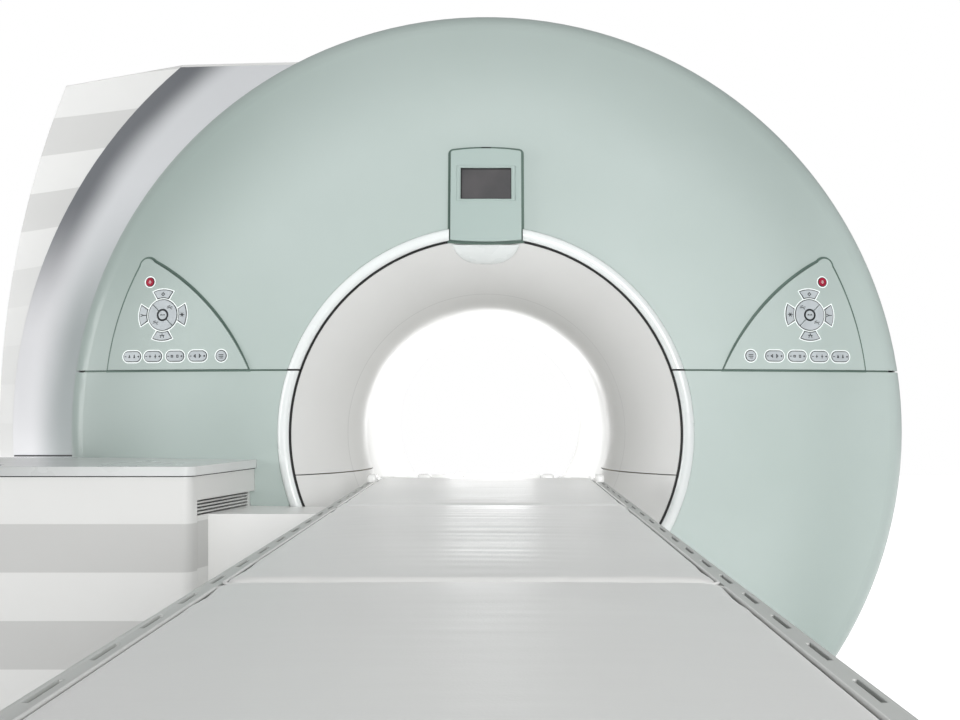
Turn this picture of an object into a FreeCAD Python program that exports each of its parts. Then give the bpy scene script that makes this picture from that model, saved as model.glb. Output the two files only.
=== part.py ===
import FreeCAD
import Part
import math
import os

# A whole-body magnetic resonance scanner with its patient table.
# Millimetres. The origin is on the floor under the isocentre: +X is the operator's right when
# facing the bore from the table, +Y runs along the bore away from the table, +Z is up.
V = FreeCAD.Vector
os.makedirs("parts", exist_ok=True)

# ---- Driving dimensions: the bore and the round covers
floor_gap = 20.0
cover_length = 1600.0
bore_radius = 300.0
mouth_radius = 444.0
ring_width = 26.0
ring_proud = 7.0
disc_radius = 1000.0
bore_height = disc_radius + floor_gap
dome_radius = 2757.0
rim_radius = 70.0
rim_lip = 5.0
cover_wall = 6.0
funnel_depth = 300.0
dome_setback = 6.0
split_height = 145.0
split_gap = 4.0
funnel_split_height = -92.0
funnel_split_gap = 2.0
seat_gap = 0.8
seal_width = 6.0
contact = 0.3
ring_back = 20.0
ring_seat = 3.0
lip_depth = 2.0

# ---- Driving dimensions: body covers
flare_width = 257.0
flare_radius = disc_radius + flare_width
flare_run = 273.3
bulge_run = 117.0
bulge_width = 83.0
bulge_half_width = flare_radius + bulge_width
bulge_arc_radius = 2515.0
roof_drop = 35.0
roof_height = disc_radius - roof_drop
roof_front_drop = 69.0
roof_front_height = roof_height - roof_front_drop
bulge_roof_drop = 25.0
bulge_roof_height = roof_height - bulge_roof_drop
right_flare_width = 48.0
right_radius = disc_radius + right_flare_width
right_flare_run = 193.3
toe_space = 170.0
roof_left = -700.0

# ---- Driving dimensions: magnet and coils
vessel_clearance = 94.0
vessel_radius = disc_radius - cover_wall - vessel_clearance
vessel_bore_radius = 450.0
vessel_end_gap = 73.3
vessel_wall = 12.0
stud_inset = 50.0
stud_radius = 20.0
stud_count = 6
stay_size = 60.0
stay_depths = (700.0, 1150.0)
gradient_gap = 10.0
gradient_radius = vessel_bore_radius - gradient_gap
gradient_end_inset = 30.0
gradient_pad = 40.0
coil_tube_wall = 6.0
coil_tube_clearance = 39.0
gradient_inner_radius = bore_radius + coil_tube_wall + coil_tube_clearance
former_end_inset = 40.0
former_radius = 560.0
former_wall = 14.0
former_flange = 12.0
end_winding_inset = 80.0
winding_places = (-1, -0.55, -0.15, 0.15, 0.55, 1)
rod_radius = 4.0
winding_width = 110.0
winding_height = 70.0
port_turn = 150.0
port_offset = 220.0
port_radius = 56.0
finger_gap = 0.5
cold_flange_radius = 90.0
cold_flange_half = 30.0
cold_body_radius = 60.0
cold_body_start = 20.0
cold_body_end = 170.0
cold_motor_radius = 75.0
cold_motor_start = 150.0
cold_motor_end = 250.0
foot_spread_x = 430.0
foot_inset = 140.0
foot_size = 240.0
foot_plate = 18.0
anchor_radius = 11.0
outlet_radius = 100.0
outlet_inset = 190.0
outlet_socket = 10.0
outlet_hole_gap = 4.0
outlet_flange_margin = 20.0
outlet_flange = 12.0
outlet_bolt_count = 8
outlet_wall = 4.0
outlet_rise = 120.0
outlet_top = roof_height + outlet_rise
outlet_bolt_circle = 250.0
outlet_bolt_radius = 6.0

# ---- Driving dimensions: display and control panels
display_half_width = 80.0
display_rise = 180.0
display_arch = 6.0
display_corner = 6.0
display_sag = 4.0
display_proud = 14.0
display_wall = 4.0
display_shell = 8.0
screen_half_width = 57.0
screen_low_rise = 61.0
screen_high_rise = 133.0
screen_sink = 1.0
screen_thickness = 3.0
panel_proud = 6.0
panel_thickness = 26.0
groove = 3.0
panel_flange = 10.0
panel_setback = 69.0
panel_width = 348.0
panel_outer_bow = (318.0, 136.0)
panel_apex_outer = (271.0, 245.0)
panel_apex = (258.0, 262.0)
panel_apex_inner = (236.0, 254.0)
panel_inner_bow = (118.0, 167.0)
apex_outer_growth = (1.0, 0.4)
apex_inner_growth = (-0.6, 0.8)
inner_bow_growth = (-0.7, 0.7)
front_reach = 400.0
key_proud = 2.5
key_thickness = 9.0
key_travel = 1.5
key_gap = 0.5
dial_out = 209.5
dial_rise = 129.0
stop_key_out = 244.0
stop_key_rise = 207.0
round_key_out = 64.0
rocker_outs = (284.5, 231.5, 176.5, 121.0)
key_row_rise = 33.0
dial_radius = 35.0
dial_collar_radius = 14.0
centre_key_radius = 10.0
arc_key_inner = 41.0
arc_key_outer = 58.0
arc_key_inner_turn = 18.0
arc_key_outer_turn = 23.0
dial_diagonal = 45.0
stop_key_radius = 9.5
round_key_radius = 11.5
rocker_length = 42.0
rocker_height = 22.0
pivot_radius = 1.5
pivot_reach = 2.0
pivot_rise = 2.5
pivot_clearance = 0.05
pivot_end_gap = 0.3

# ---- Driving dimensions: side cabinet and plinth
cabinet_front = -285.0
cabinet_back = 107.0
cabinet_left = -1330.0
cabinet_right = -594.0
cabinet_side_inset = 91.0
cabinet_top = -57.0
cabinet_wall = 5.0
lid_thickness = 19.0
lid_overhang = 6.0
corner_radius = 22.0
recess_top = -128.0
recess_depth = 12.0
slat_pitch = 7.0
slat_count = 5
slat_first = 0.75
slat_start = 45.0
slat_end = 300.0
slat_half_depth = 10.0
recess_reach = 700.0
recess_width = 300.0
ring_clearance = 2.0
plinth_front = -181.0
plinth_top = -162.0
plinth_table_gap = 6.0

# ---- Driving dimensions: patient table
table_width = 524.0
table_top = -98.0
table_length = 2360.0
table_head_gap = 12.0
cushion_thickness = 34.0
cushion_side = 22.0
cushion_joint = 3.0
cushion_head_length = 706.0
cushion_middle_length = 830.0
table_keel_width = 420.0
table_depth = 44.0
rail_drop = 6.0
rail_width = 17.0
slot_depth = 9.0
slot_length = 60.0
slot_pitch = 117.0
slot_width = 4.0
slot_inset = 7.0
slot_first = 0.75
end_wall = 10.0
clip_width = 16.0
clip_depth = 14.0
clip_front = 4.0
clip_foot = 4.0
clip_rise = 8.0
clip_inset = 10.0
inner_clip_offset = 6.0
cushion_gap = 1.0
frame_height = 60.0
frame_width = 400.0
frame_front = 60.0
frame_length = 2190.0
slide_gap = 0.5
lift_travel = 430.0
tube_wall = 4.0
tube_gap = 3.0
column_length = 900.0
column_width = 360.0
column_from_mouth = 620.0
base_plate = 20.0
base_margin = 70.0
base_bolt_inset = 30.0
base_bolt_radius = 7.0
ram_radius = 30.0
sleeve_wall = 6.0
barrel_wall = 8.0
ram_gap = 0.5
deck_thickness = 12.0
deck_rail_height = 8.0
deck_half_width = 205.0
deck_end_gap = 60.0
deck_rail_half = 15.0
deck_leg_half = 6.0
deck_leg_place = 0.75
base_front_gap = 30.0
closed_gap = 8.0
bridge_lap = 1.0
over = 1.0

mouth_y = -cover_length / 2
ring_outer = mouth_radius + ring_width
dome_axial = math.sqrt(dome_radius**2 - ring_outer**2)
dome_y = mouth_y + dome_setback + dome_axial
rim_centre_r = disc_radius - rim_radius
rim_axial = math.sqrt((dome_radius - rim_radius) ** 2 - rim_centre_r**2)
rim_centre_depth = dome_setback + dome_axial - rim_axial
disc_depth = rim_centre_depth + rim_lip
flare_depth = disc_depth + flare_run
bulge_depth = flare_depth + bulge_run
right_flare_depth = disc_depth + right_flare_run
vessel_front = disc_depth + vessel_end_gap
vessel_back = cover_length - vessel_front
outlet_y = mouth_y + vessel_back - outlet_inset
foot_spread_y = (vessel_back - vessel_front) / 2 - foot_inset
display_top = ring_outer + display_rise
screen_low = ring_outer + screen_low_rise
screen_high = ring_outer + screen_high_rise
panel_inner = ring_outer + panel_setback
dial_x = panel_inner + dial_out
dial_z = split_height + dial_rise
stop_key_z = split_height + stop_key_rise
key_row_z = split_height + key_row_rise
big = 6000.0


def wire(steps, place):
    """A closed wire of lines and arcs; a step is (a, b) or, for an arc, (mid a, mid b, a, b)."""
    start = place(*steps[0])
    here = start
    edges = []
    for step in list(steps[1:]) + [steps[0][-2:]]:
        there = place(*step[-2:])
        if len(step) == 4:
            edges.append(Part.Arc(here, place(*step[:2]), there).toShape())
        elif here.distanceToPoint(there) > 1e-6:
            edges.append(Part.LineSegment(here, there).toShape())
        here = there
    return Part.Wire(edges)


def turned(steps):
    """Revolve a (radius, depth) outline about the bore axis; depth is measured from the mouth."""
    face = Part.Face(wire(steps, lambda r, d: V(r, mouth_y + d, bore_height)))
    return face.revolve(V(0, 0, bore_height), V(0, 1, 0), 360)


def front_plate(steps, low, high):
    """Extrude an (x, height above the bore axis) outline along the bore between two depths."""
    face = Part.Face(wire(steps, lambda x, z: V(x, mouth_y + low, bore_height + z)))
    return face.extrude(V(0, high - low, 0))


def across_front(steps):
    """A front outline extruded far enough to cross the whole dome."""
    return front_plate(steps, -front_reach, front_reach)


def plan_plate(steps, low, high):
    """Extrude an (x, depth) outline upwards between two heights above the bore axis."""
    face = Part.Face(wire(steps, lambda x, d: V(x, mouth_y + d, bore_height + low)))
    return face.extrude(V(0, 0, high - low))


def block(x0, x1, d0, d1, z0, z1):
    """A box given by x, depth and height above the bore axis."""
    return Part.makeBox(x1 - x0, d1 - d0, z1 - z0, V(x0, mouth_y + d0, bore_height + z0))


def tube_between(outer, inner, d0, d1):
    """A round tube on the bore axis between two depths."""
    return drum(outer, d0, d1).cut(drum(inner, d0 - over, d1 + over))


def ball(offset):
    """The sphere of the front dome, grown by an offset."""
    return Part.makeSphere(dome_radius + offset, V(0, dome_y, bore_height))


def drum(radius, d0, d1):
    """A cylinder on the bore axis between two depths."""
    return Part.makeCylinder(radius, d1 - d0, V(0, mouth_y + d0, bore_height), V(0, 1, 0))


def post(radius, x, y, z0, z1):
    """An upright cylinder between two heights above the floor."""
    return Part.makeCylinder(radius, z1 - z0, V(x, y, z0))


def above(height):
    return block(-big, big, -big, big, height, big)


def below(height):
    return block(-big, big, -big, big, -big, height)


def fused(parts):
    whole = parts[0].multiFuse(parts[1:]) if len(parts) > 1 else parts[0]
    return whole.removeSplitter()


def mirrored_y(shape):
    """The same shape at the rear end of the bore."""
    return shape.mirror(V(0, 0, 0), V(0, 1, 0))


def save(name, shape):
    """Write one node, as its separate solids."""
    solids = shape.Solids
    volume = sum(s.Volume for s in solids)
    sound = all(s.isValid() for s in solids)
    print(f"{name:24s} solids {len(solids):2d} litres {volume / 1e6:9.3f} valid {sound}")
    whole = solids[0] if len(solids) == 1 else Part.makeCompound(solids)
    whole.exportStep(f"parts/{name}.step")


# ---- The round front cover: a shallow dome with a rounded rim


def dome_depth(radius, offset):
    return dome_y - mouth_y - math.sqrt((dome_radius + offset) ** 2 - radius**2)


def dome_side(inner_radius, offset):
    """Steps along the dome and round its rim, from the mouth outwards."""
    reach = (dome_radius + offset) / (dome_radius - rim_radius)
    join_r = rim_centre_r * reach
    join_depth = dome_setback + dome_axial - rim_axial * reach
    middle = (inner_radius + join_r) / 2
    half_turn = math.atan2(rim_axial, rim_centre_r) / 2
    rim = rim_radius + offset
    rim_mid = (
        rim_centre_r + rim * math.cos(half_turn),
        rim_centre_depth - rim * math.sin(half_turn),
    )
    return [
        (inner_radius, dome_depth(inner_radius, offset)),
        (middle, dome_depth(middle, offset), join_r, join_depth),
        (*rim_mid, rim_centre_r + rim, rim_centre_depth),
        (rim_centre_r + rim, disc_depth),
    ]


def backwards(steps):
    """The same run of steps from its other end."""
    ends = [s[-2:] for s in steps]
    run = [ends[-1]]
    for i in range(len(steps) - 1, 0, -1):
        run.append((*steps[i][:2], *ends[i - 1]) if len(steps[i]) == 4 else ends[i - 1])
    return run


def round_cover():
    outer = dome_side(ring_outer + seat_gap, 0)
    inner = backwards(dome_side(ring_outer + seat_gap, -cover_wall))
    return turned(outer + inner)


# ---- Display and control panel outlines, seen from the front


def display_outline(grow):
    """A tall plate with rounded shoulders, an arched top and a slightly sagging foot."""
    half = display_half_width + grow
    low = math.sqrt(mouth_radius**2 - display_half_width**2) - grow
    high = display_top - display_arch + grow
    corner = display_corner + grow
    side = high - corner
    shoulder = half - corner
    top = high + display_arch * (1 - (shoulder / half) ** 2)
    cut = corner * (1 - math.sqrt(0.5))
    return [
        (-half, low),
        (-half, side),
        (-half + cut, top - cut, -shoulder, top),
        (0, high + display_arch, shoulder, top),
        (half - cut, top - cut, half, side),
        (half, low),
        (0, low - display_sag, -half, low),
    ]


def panel_outline(side, grow):
    """A triangle with bowed sides and a rounded apex, standing on the cover split."""
    base = split_height + split_gap / 2 - grow + contact

    def at(out, rise, grow_out, grow_up):
        return (side * (panel_inner + out + grow * grow_out), split_height + rise + grow * grow_up)

    inner_corner = (side * (panel_inner - grow), base)
    return [
        inner_corner,
        (side * (panel_inner + panel_width + grow), base),
        (*at(*panel_outer_bow, 1, 0), *at(*panel_apex_outer, *apex_outer_growth)),
        (*at(*panel_apex, 0, 1), *at(*panel_apex_inner, *apex_inner_growth)),
        (*at(*panel_inner_bow, *inner_bow_growth), *inner_corner),
    ]


def round_outline(x, z, radius):
    return [(x - radius, z), (x, z + radius, x + radius, z), (x, z - radius, x - radius, z)]


def pill_outline(x, z, length, height):
    reach = length / 2 - height / 2
    half = height / 2
    return [
        (x - reach, z - half),
        (x - reach - half, z, x - reach, z + half),
        (x + reach, z + half),
        (x + reach + half, z, x + reach, z - half),
    ]


def arc_key_outline(x, z, facing, grow):
    """A key along a circle round the dial, wider on its outer side; facing is in degrees."""
    inner = arc_key_inner - grow
    outer = arc_key_outer + grow
    inner_half = math.radians(arc_key_inner_turn) + grow / inner
    outer_half = math.radians(arc_key_outer_turn) + grow / outer
    turn = math.radians(facing)

    def at(radius, angle):
        return (x + radius * math.cos(turn + angle), z + radius * math.sin(turn + angle))

    return [
        at(inner, -inner_half),
        at(outer, -outer_half),
        (*at(outer, 0), *at(outer, outer_half)),
        at(inner, inner_half),
        (*at(inner, 0), *at(inner, -inner_half)),
    ]


def half_ring_outline(x, z, facing, grow):
    """Half of the dial's ring; its straight ends lie a key gap from the dial's diagonal."""
    inner = dial_collar_radius + key_gap - grow
    outer = dial_radius + grow
    offset = 2 * key_gap - grow
    inner_half = math.acos(offset / inner)
    outer_half = math.acos(offset / outer)
    turn = math.radians(facing)

    def at(radius, angle):
        return (x + radius * math.cos(turn + angle), z + radius * math.sin(turn + angle))

    return [
        at(inner, -inner_half),
        at(outer, -outer_half),
        (*at(outer, 0), *at(outer, outer_half)),
        at(inner, inner_half),
        (*at(inner, 0), *at(inner, -inner_half)),
    ]


def key_outlines(side, grow):
    """Every key of one panel: name and outline; side is -1 on the left, +1 on the right."""
    x = side * dial_x
    out = 0 if side > 0 else 180
    diagonal = dial_diagonal if side < 0 else 180 - dial_diagonal
    stop_x = side * (panel_inner + stop_key_out)
    round_x = side * (panel_inner + round_key_out)
    keys = {
        "stop_key": round_outline(stop_x, stop_key_z, stop_key_radius + grow),
        "up_key": arc_key_outline(x, dial_z, 90, grow),
        "down_key": arc_key_outline(x, dial_z, 270, grow),
        "outer_key": arc_key_outline(x, dial_z, out, grow),
        "inner_key": arc_key_outline(x, dial_z, 180 - out, grow),
        "dial_upper_key": half_ring_outline(x, dial_z, diagonal, grow),
        "dial_lower_key": half_ring_outline(x, dial_z, diagonal + 180, grow),
        "centre_key": round_outline(x, dial_z, centre_key_radius + grow),
        "round_key": round_outline(round_x, key_row_z, round_key_radius + grow),
    }
    for i, out in enumerate(rocker_outs):
        size = (rocker_length + 2 * grow, rocker_height + 2 * grow)
        keys[f"rocker_{i + 1}"] = pill_outline(side * (panel_inner + out), key_row_z, *size)
    return keys


def pivot(side, out, radius, end_gap):
    """A rocker's upright pivot pin, or the hole that it turns in, low in the key's thickness."""
    x = side * (panel_inner + out)
    lift = panel_proud + key_proud - key_thickness + pivot_rise
    y = dome_y - math.sqrt((dome_radius + lift) ** 2 - x**2 - key_row_z**2)
    half = rocker_height / 2 + pivot_reach + end_gap
    middle = bore_height + key_row_z
    return post(radius, x, y, middle - half, middle + half)


panel_face = ball(panel_proud)
panel_back = ball(panel_proud - panel_thickness)
key_face = ball(panel_proud + key_proud)
key_back = ball(panel_proud + key_proud - key_thickness)
pocket_floor = ball(panel_proud + key_proud - key_thickness - 2 * key_travel)
flange_face = ball(-cover_wall - contact)


def control_panel(side):
    """The moulded panel: a proud face, a flange behind the cover and a pocket for each key."""
    body = across_front(panel_outline(side, 0)).common(panel_face)
    flange = across_front(panel_outline(side, panel_flange)).common(flange_face)
    panel = fused([body.cut(panel_back), flange.cut(panel_back)])
    pockets = [across_front(o) for o in key_outlines(side, key_gap).values()]
    panel = panel.cut(Part.makeCompound(pockets).cut(pocket_floor))
    for out in rocker_outs:
        panel = panel.cut(pivot(side, out, pivot_radius + pivot_clearance, pivot_end_gap))
    return panel


# ---- Covers

cover = round_cover()
display_hole = across_front(display_outline(groove))
panel_holes = [across_front(panel_outline(s, groove)) for s in (-1, 1)]
upper = cover.common(above(split_height + split_gap / 2))
save("front_cover_upper", upper.cut(Part.makeCompound(panel_holes)))
save("front_cover_lower", cover.common(below(split_height - split_gap / 2)))

ring = turned([
    (mouth_radius, ring_back),
    (mouth_radius, 0),
    (mouth_radius + ring_width / 2, -ring_proud, ring_outer, dome_setback - ring_seat),
    (ring_outer, ring_back),
])
ring_upper = ring.common(above(split_height + split_gap / 2)).cut(display_hole)
save("mouth_ring_upper", ring_upper)
save("mouth_ring_lower", ring.common(below(split_height - split_gap / 2)))

# The funnel's bell is one arc, tangent to the bore, ending a seal's width inside the ring.
funnel_lip = mouth_radius - seal_width
funnel_rise = funnel_lip - bore_radius
bell_run = funnel_depth - lip_depth
bell_radius = (funnel_rise**2 + bell_run**2) / (2 * funnel_rise)


def bell(depth, wall):
    """Radius of the bell at a depth, on its bore side or a wall's thickness outside it."""
    axial = funnel_depth - depth
    return bore_radius + bell_radius - math.sqrt((bell_radius - wall) ** 2 - axial**2)


lip_turn = math.asin(bell_run / bell_radius)
lip_back = (
    funnel_lip + cover_wall * math.cos(lip_turn),
    lip_depth + cover_wall * math.sin(lip_turn),
)
flange_back = ring_back + cover_wall
funnel = turned([
    (bore_radius, funnel_depth),
    (bell(funnel_depth / 2, 0), funnel_depth / 2, funnel_lip, lip_depth),
    lip_back,
    (lip_back[0], ring_back),
    (ring_outer - cover_wall, ring_back),
    (ring_outer - cover_wall, flange_back),
    (bell(flange_back, cover_wall), flange_back),
    (
        bell((funnel_depth + flange_back) / 2, cover_wall),
        (funnel_depth + flange_back) / 2,
        bore_radius + cover_wall,
        funnel_depth,
    ),
])
save("front_funnel_upper", funnel.common(above(funnel_split_height + funnel_split_gap / 2)))
save("front_funnel_lower", funnel.common(below(funnel_split_height - funnel_split_gap / 2)))

rear_disc = turned(
    dome_side(ring_outer - cover_wall, 0) + backwards(dome_side(ring_outer - cover_wall, -cover_wall))
)
save("rear_cover", mirrored_y(rear_disc))
# The rear funnel is the same bell, without its lip and small enough to pass the rear cover.
rear_bell = funnel.cut(drum(big, -big, dome_setback + over))
rear_flange_room = drum(big, -big, flange_back).cut(
    drum(ring_outer - cover_wall - seat_gap, -big, flange_back))
save("rear_funnel", mirrored_y(rear_bell.cut(rear_flange_room)))

# ---- Body covers: a silver flare, a bulged left side, a round right side and a roof

rear_depth = cover_length - disc_depth - seat_gap
flare_start = disc_depth + seat_gap
low_edge = floor_gap - bore_height


def roof_cut(drop):
    """Everything above the roof: a slope up from the disc, then a level top."""
    rise = (roof_height - roof_front_height) / (flare_depth - disc_depth)
    side = [
        (0, roof_front_height - drop - rise * disc_depth),
        (flare_depth, roof_height - drop),
        (big, roof_height - drop),
        (big, big),
        (0, big),
    ]
    face = Part.Face(wire(side, lambda d, z: V(-big, mouth_y + d, bore_height + z)))
    return face.extrude(V(2 * big, 0, 0))


def circle_x(radius, z):
    return -math.sqrt(radius**2 - z**2)


def bulge_x(z, inset):
    radius = bulge_arc_radius - inset
    return -(bulge_half_width - bulge_arc_radius) - math.sqrt(radius**2 - z**2)


def bulge_solid(inset, start, stop):
    """The left side's solid form: a ruled front face from the flare's edge, then straight back."""
    top = roof_height - inset
    top_left = bulge_roof_height - inset
    edge = flare_radius - inset
    front_steps = [
        (circle_x(edge, top), top),
        (circle_x(edge, 0), 0, circle_x(edge, low_edge), low_edge),
        (0, low_edge),
        (0, top),
        (roof_left, top),
    ]
    back_steps = [
        (bulge_x(top_left, inset), top_left),
        (bulge_x(0, inset), 0, bulge_x(low_edge, inset), low_edge),
        (0, low_edge),
        (0, top),
        (roof_left, top),
    ]
    front = wire(front_steps, lambda x, z: V(x, mouth_y + start, bore_height + z))
    back = wire(back_steps, lambda x, z: V(x, mouth_y + bulge_depth, bore_height + z))
    nose = Part.makeLoft([front, back], True, True)
    return nose.fuse(front_plate(back_steps, bulge_depth, stop))


flare_outer = turned([
    (disc_radius - cover_wall, flare_start),
    (disc_radius, flare_start),
    (flare_radius, flare_depth),
    (flare_radius - cover_wall, flare_depth),
])
left_half = block(-big, 0, -big, big, low_edge, big)
right_half = block(0, big, -big, big, toe_space - bore_height, big)
save("flare_cover", flare_outer.common(left_half).cut(roof_cut(cover_wall)))

side_start = flare_depth + seat_gap
bulge = bulge_solid(0, side_start, rear_depth)
bulge_room = bulge_solid(cover_wall, side_start - over, rear_depth - cover_wall)
side_left = bulge.cut(bulge_room).cut(drum(flare_radius - 2 * cover_wall, -big, side_start + over))
side_left = side_left.cut(block(roof_left, 0, -big, big, roof_height - cover_wall, big))
side_left = side_left.cut(drum(disc_radius - cover_wall, rear_depth - 2 * cover_wall, big))
save("side_cover_left", side_left)

right_steps = [
    (disc_radius, flare_start),
    (right_radius, right_flare_depth),
    (right_radius, rear_depth),
    (disc_radius - cover_wall, rear_depth),
    (disc_radius - cover_wall, rear_depth - cover_wall),
    (right_radius - cover_wall, rear_depth - cover_wall),
    (right_radius - cover_wall, right_flare_depth),
    (disc_radius - cover_wall, flare_start),
]
save("side_cover_right", turned(right_steps).common(right_half).cut(roof_cut(cover_wall)))


def cone(radius, depth):
    """A solid cone frustum from the disc's rim to a radius at a depth."""
    foot = V(0, mouth_y + flare_start, bore_height)
    return Part.makeCone(disc_radius, radius, depth - flare_start, foot, V(0, 1, 0))


roof_form = drum(right_radius, right_flare_depth, rear_depth).fuse(cone(right_radius, right_flare_depth))
roof_form = roof_form.fuse(cone(flare_radius, flare_depth).common(left_half))
roof_form = roof_form.fuse(block(roof_left, 0, flare_depth, rear_depth, 0, roof_height))
roof_slab = roof_cut(cover_wall).cut(roof_cut(0))
outlet_hole = post(outlet_radius + outlet_hole_gap, 0, outlet_y, 0, big)
save("roof_cover", roof_form.common(roof_slab).cut(outlet_hole))

# ---- The magnet: a vacuum vessel on feet, with the windings hung inside it

middle_depth = cover_length / 2
winding_outer = former_radius + former_wall + winding_height
port_centre = V(0, mouth_y + middle_depth + port_offset, bore_height)
port_axis = V(math.cos(math.radians(port_turn)), 0, math.sin(math.radians(port_turn)))


def radial(radius, r0, r1):
    """A cylinder on the cold head's axis between two distances from the bore axis."""
    return Part.makeCylinder(radius, r1 - r0, port_centre + port_axis * r0, port_axis)


shell = tube_between(vessel_radius, vessel_radius - vessel_wall, vessel_front, vessel_back)
shell = shell.cut(post(outlet_radius + seat_gap, 0, outlet_y, bore_height, big))
shell = shell.cut(radial(port_radius, winding_outer, big))
vessel = [shell]
bore_tube_outer = vessel_bore_radius + vessel_wall
vessel.append(tube_between(bore_tube_outer, vessel_bore_radius, vessel_front, vessel_back))
for start in (vessel_front, vessel_back - vessel_wall):
    plate_outer = vessel_radius - vessel_wall - contact
    plate_inner = bore_tube_outer + contact
    vessel.append(tube_between(plate_outer, plate_inner, start, start + vessel_wall))
for i in range(stud_count):
    turn = 2 * math.pi * i / stud_count
    reach = vessel_radius - stud_inset
    foot = V(reach * math.cos(turn), mouth_y, bore_height + reach * math.sin(turn))
    stud = Part.makeCylinder(stud_radius, vessel_front, foot, V(0, 1, 0))
    stud = stud.common(ball(-cover_wall - contact))
    vessel += [stud, mirrored_y(stud)]
left_room = bulge_solid(cover_wall + contact, side_start - over, rear_depth - cover_wall)
right_room = drum(right_radius - cover_wall - contact, -big, big)
for depth in stay_depths:
    half = stay_size / 2
    bar = block(-big, big, depth, depth + stay_size, -half, half).cut(
        drum(vessel_radius + contact, -big, big))
    vessel.append(bar.common(left_room).common(left_half))
    vessel.append(bar.common(right_room).common(right_half))
save("magnet_vessel", Part.makeCompound(vessel))

former_front = vessel_front + former_end_inset
former_back = vessel_back - former_end_inset
end_winding = (former_back - former_front) / 2 - end_winding_inset
windings = [drum(former_radius + former_wall, former_front, former_back)]
for share in winding_places:
    at = middle_depth + share * end_winding
    windings.append(drum(winding_outer, at - winding_width / 2, at + winding_width / 2))
for start in (former_front, former_back - former_flange):
    windings.append(drum(winding_outer, start, start + former_flange))
    for i in range(4):
        turn = math.radians(45 + 90 * i)
        along = V(math.cos(turn), 0, math.sin(turn))
        foot = V(0, mouth_y + start + former_flange / 2, bore_height) + along * former_radius
        reach = vessel_radius - vessel_wall - contact - former_radius
        windings.append(Part.makeCylinder(rod_radius, reach, foot, along))
windings = fused(windings).cut(drum(former_radius, -big, big))
save("magnet_windings", windings)

cold_flange = radial(cold_flange_radius, vessel_radius - cold_flange_half, vessel_radius + cold_flange_half)
cold_head = [
    cold_flange.cut(drum(vessel_radius + contact, -big, big)),
    radial(port_radius - finger_gap, winding_outer + finger_gap, vessel_radius + cold_body_start + over),
    radial(cold_body_radius, vessel_radius + cold_body_start, vessel_radius + cold_body_end),
    radial(cold_motor_radius, vessel_radius + cold_motor_start, vessel_radius + cold_motor_end),
]
save("cold_head", fused(cold_head))

outlet_low = bore_height + vessel_radius - vessel_wall - outlet_socket
outlet_high = bore_height + outlet_top
outlet = post(outlet_radius, 0, outlet_y, outlet_low, outlet_high).fuse(
    post(outlet_bolt_circle / 2 + outlet_flange_margin, 0, outlet_y, outlet_high - outlet_flange,
         outlet_high))
outlet = outlet.cut(post(outlet_radius - outlet_wall, 0, outlet_y, 0, big))
for i in range(outlet_bolt_count):
    turn = 2 * math.pi * i / outlet_bolt_count
    x = outlet_bolt_circle / 2 * math.cos(turn)
    y = outlet_y + outlet_bolt_circle / 2 * math.sin(turn)
    outlet = outlet.cut(post(outlet_bolt_radius, x, y, 0, big))
save("quench_outlet", outlet.removeSplitter())

gradient_front = vessel_front + gradient_end_inset
gradient_back = vessel_back - gradient_end_inset
gradient = [drum(gradient_radius, gradient_front, gradient_back)]
for start in (gradient_front, gradient_back - gradient_pad):
    for i in range(4):
        half = gradient_pad / 2
        pad = block(-half, half, start, start + gradient_pad, 0, vessel_bore_radius)
        pad.rotate(V(0, 0, bore_height), V(0, 1, 0), 90 * i)
        gradient.append(pad.common(drum(vessel_bore_radius - contact, -big, big)))
gradient = fused(gradient).cut(drum(gradient_inner_radius, -big, big))
save("gradient_coil", gradient)

tube = drum(bore_radius + coil_tube_wall, funnel_depth, cover_length - funnel_depth)
save("body_coil_tube", tube.cut(drum(bore_radius, -big, big)))

feet = []
for sx in (-1, 1):
    for sy in (-1, 1):
        x = sx * foot_spread_x
        y = sy * foot_spread_y
        half = foot_size / 2
        plate = Part.makeBox(foot_size, foot_size, foot_plate, V(x - half, y - half, 0))
        leg = Part.makeBox(half, half, bore_height / 2, V(x - half / 2, y - half / 2, 0))
        foot = plate.fuse(leg.cut(drum(vessel_radius + contact, -big, big)))
        anchor = post(anchor_radius, x + sx * foot_size / 3, y + sy * foot_size / 3, -over, bore_height)
        feet.append(foot.cut(anchor).removeSplitter())
save("magnet_feet", Part.makeCompound(feet))

# ---- Display and control panels on the front cover

housing = across_front(display_outline(0)).common(ball(display_proud))
hollow = across_front(display_outline(-display_wall)).common(ball(display_proud - display_shell))
housing = housing.cut(ball(contact)).cut(hollow)
screen_window = block(-screen_half_width, screen_half_width, -front_reach, front_reach,
                      screen_low, screen_high)
recess_floor = ball(display_proud - screen_sink - screen_thickness)
save("display_housing", housing.cut(screen_window.cut(recess_floor)))
glass = screen_window.common(ball(display_proud - screen_sink)).cut(recess_floor)
save("display_glass", glass)

for side, hand in ((-1, "left"), (1, "right")):
    save(f"control_panel_{hand}", control_panel(side))
    for key, shape in key_outlines(side, 0).items():
        solid = across_front(shape).common(key_face).cut(key_back)
        if key.startswith("rocker"):
            solid = solid.fuse(pivot(side, rocker_outs[int(key[-1]) - 1], pivot_radius, 0))
        save(f"{hand}_{key}", solid)

# ---- Side cabinet with its lid and louvre, and the plinth beside the table


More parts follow.
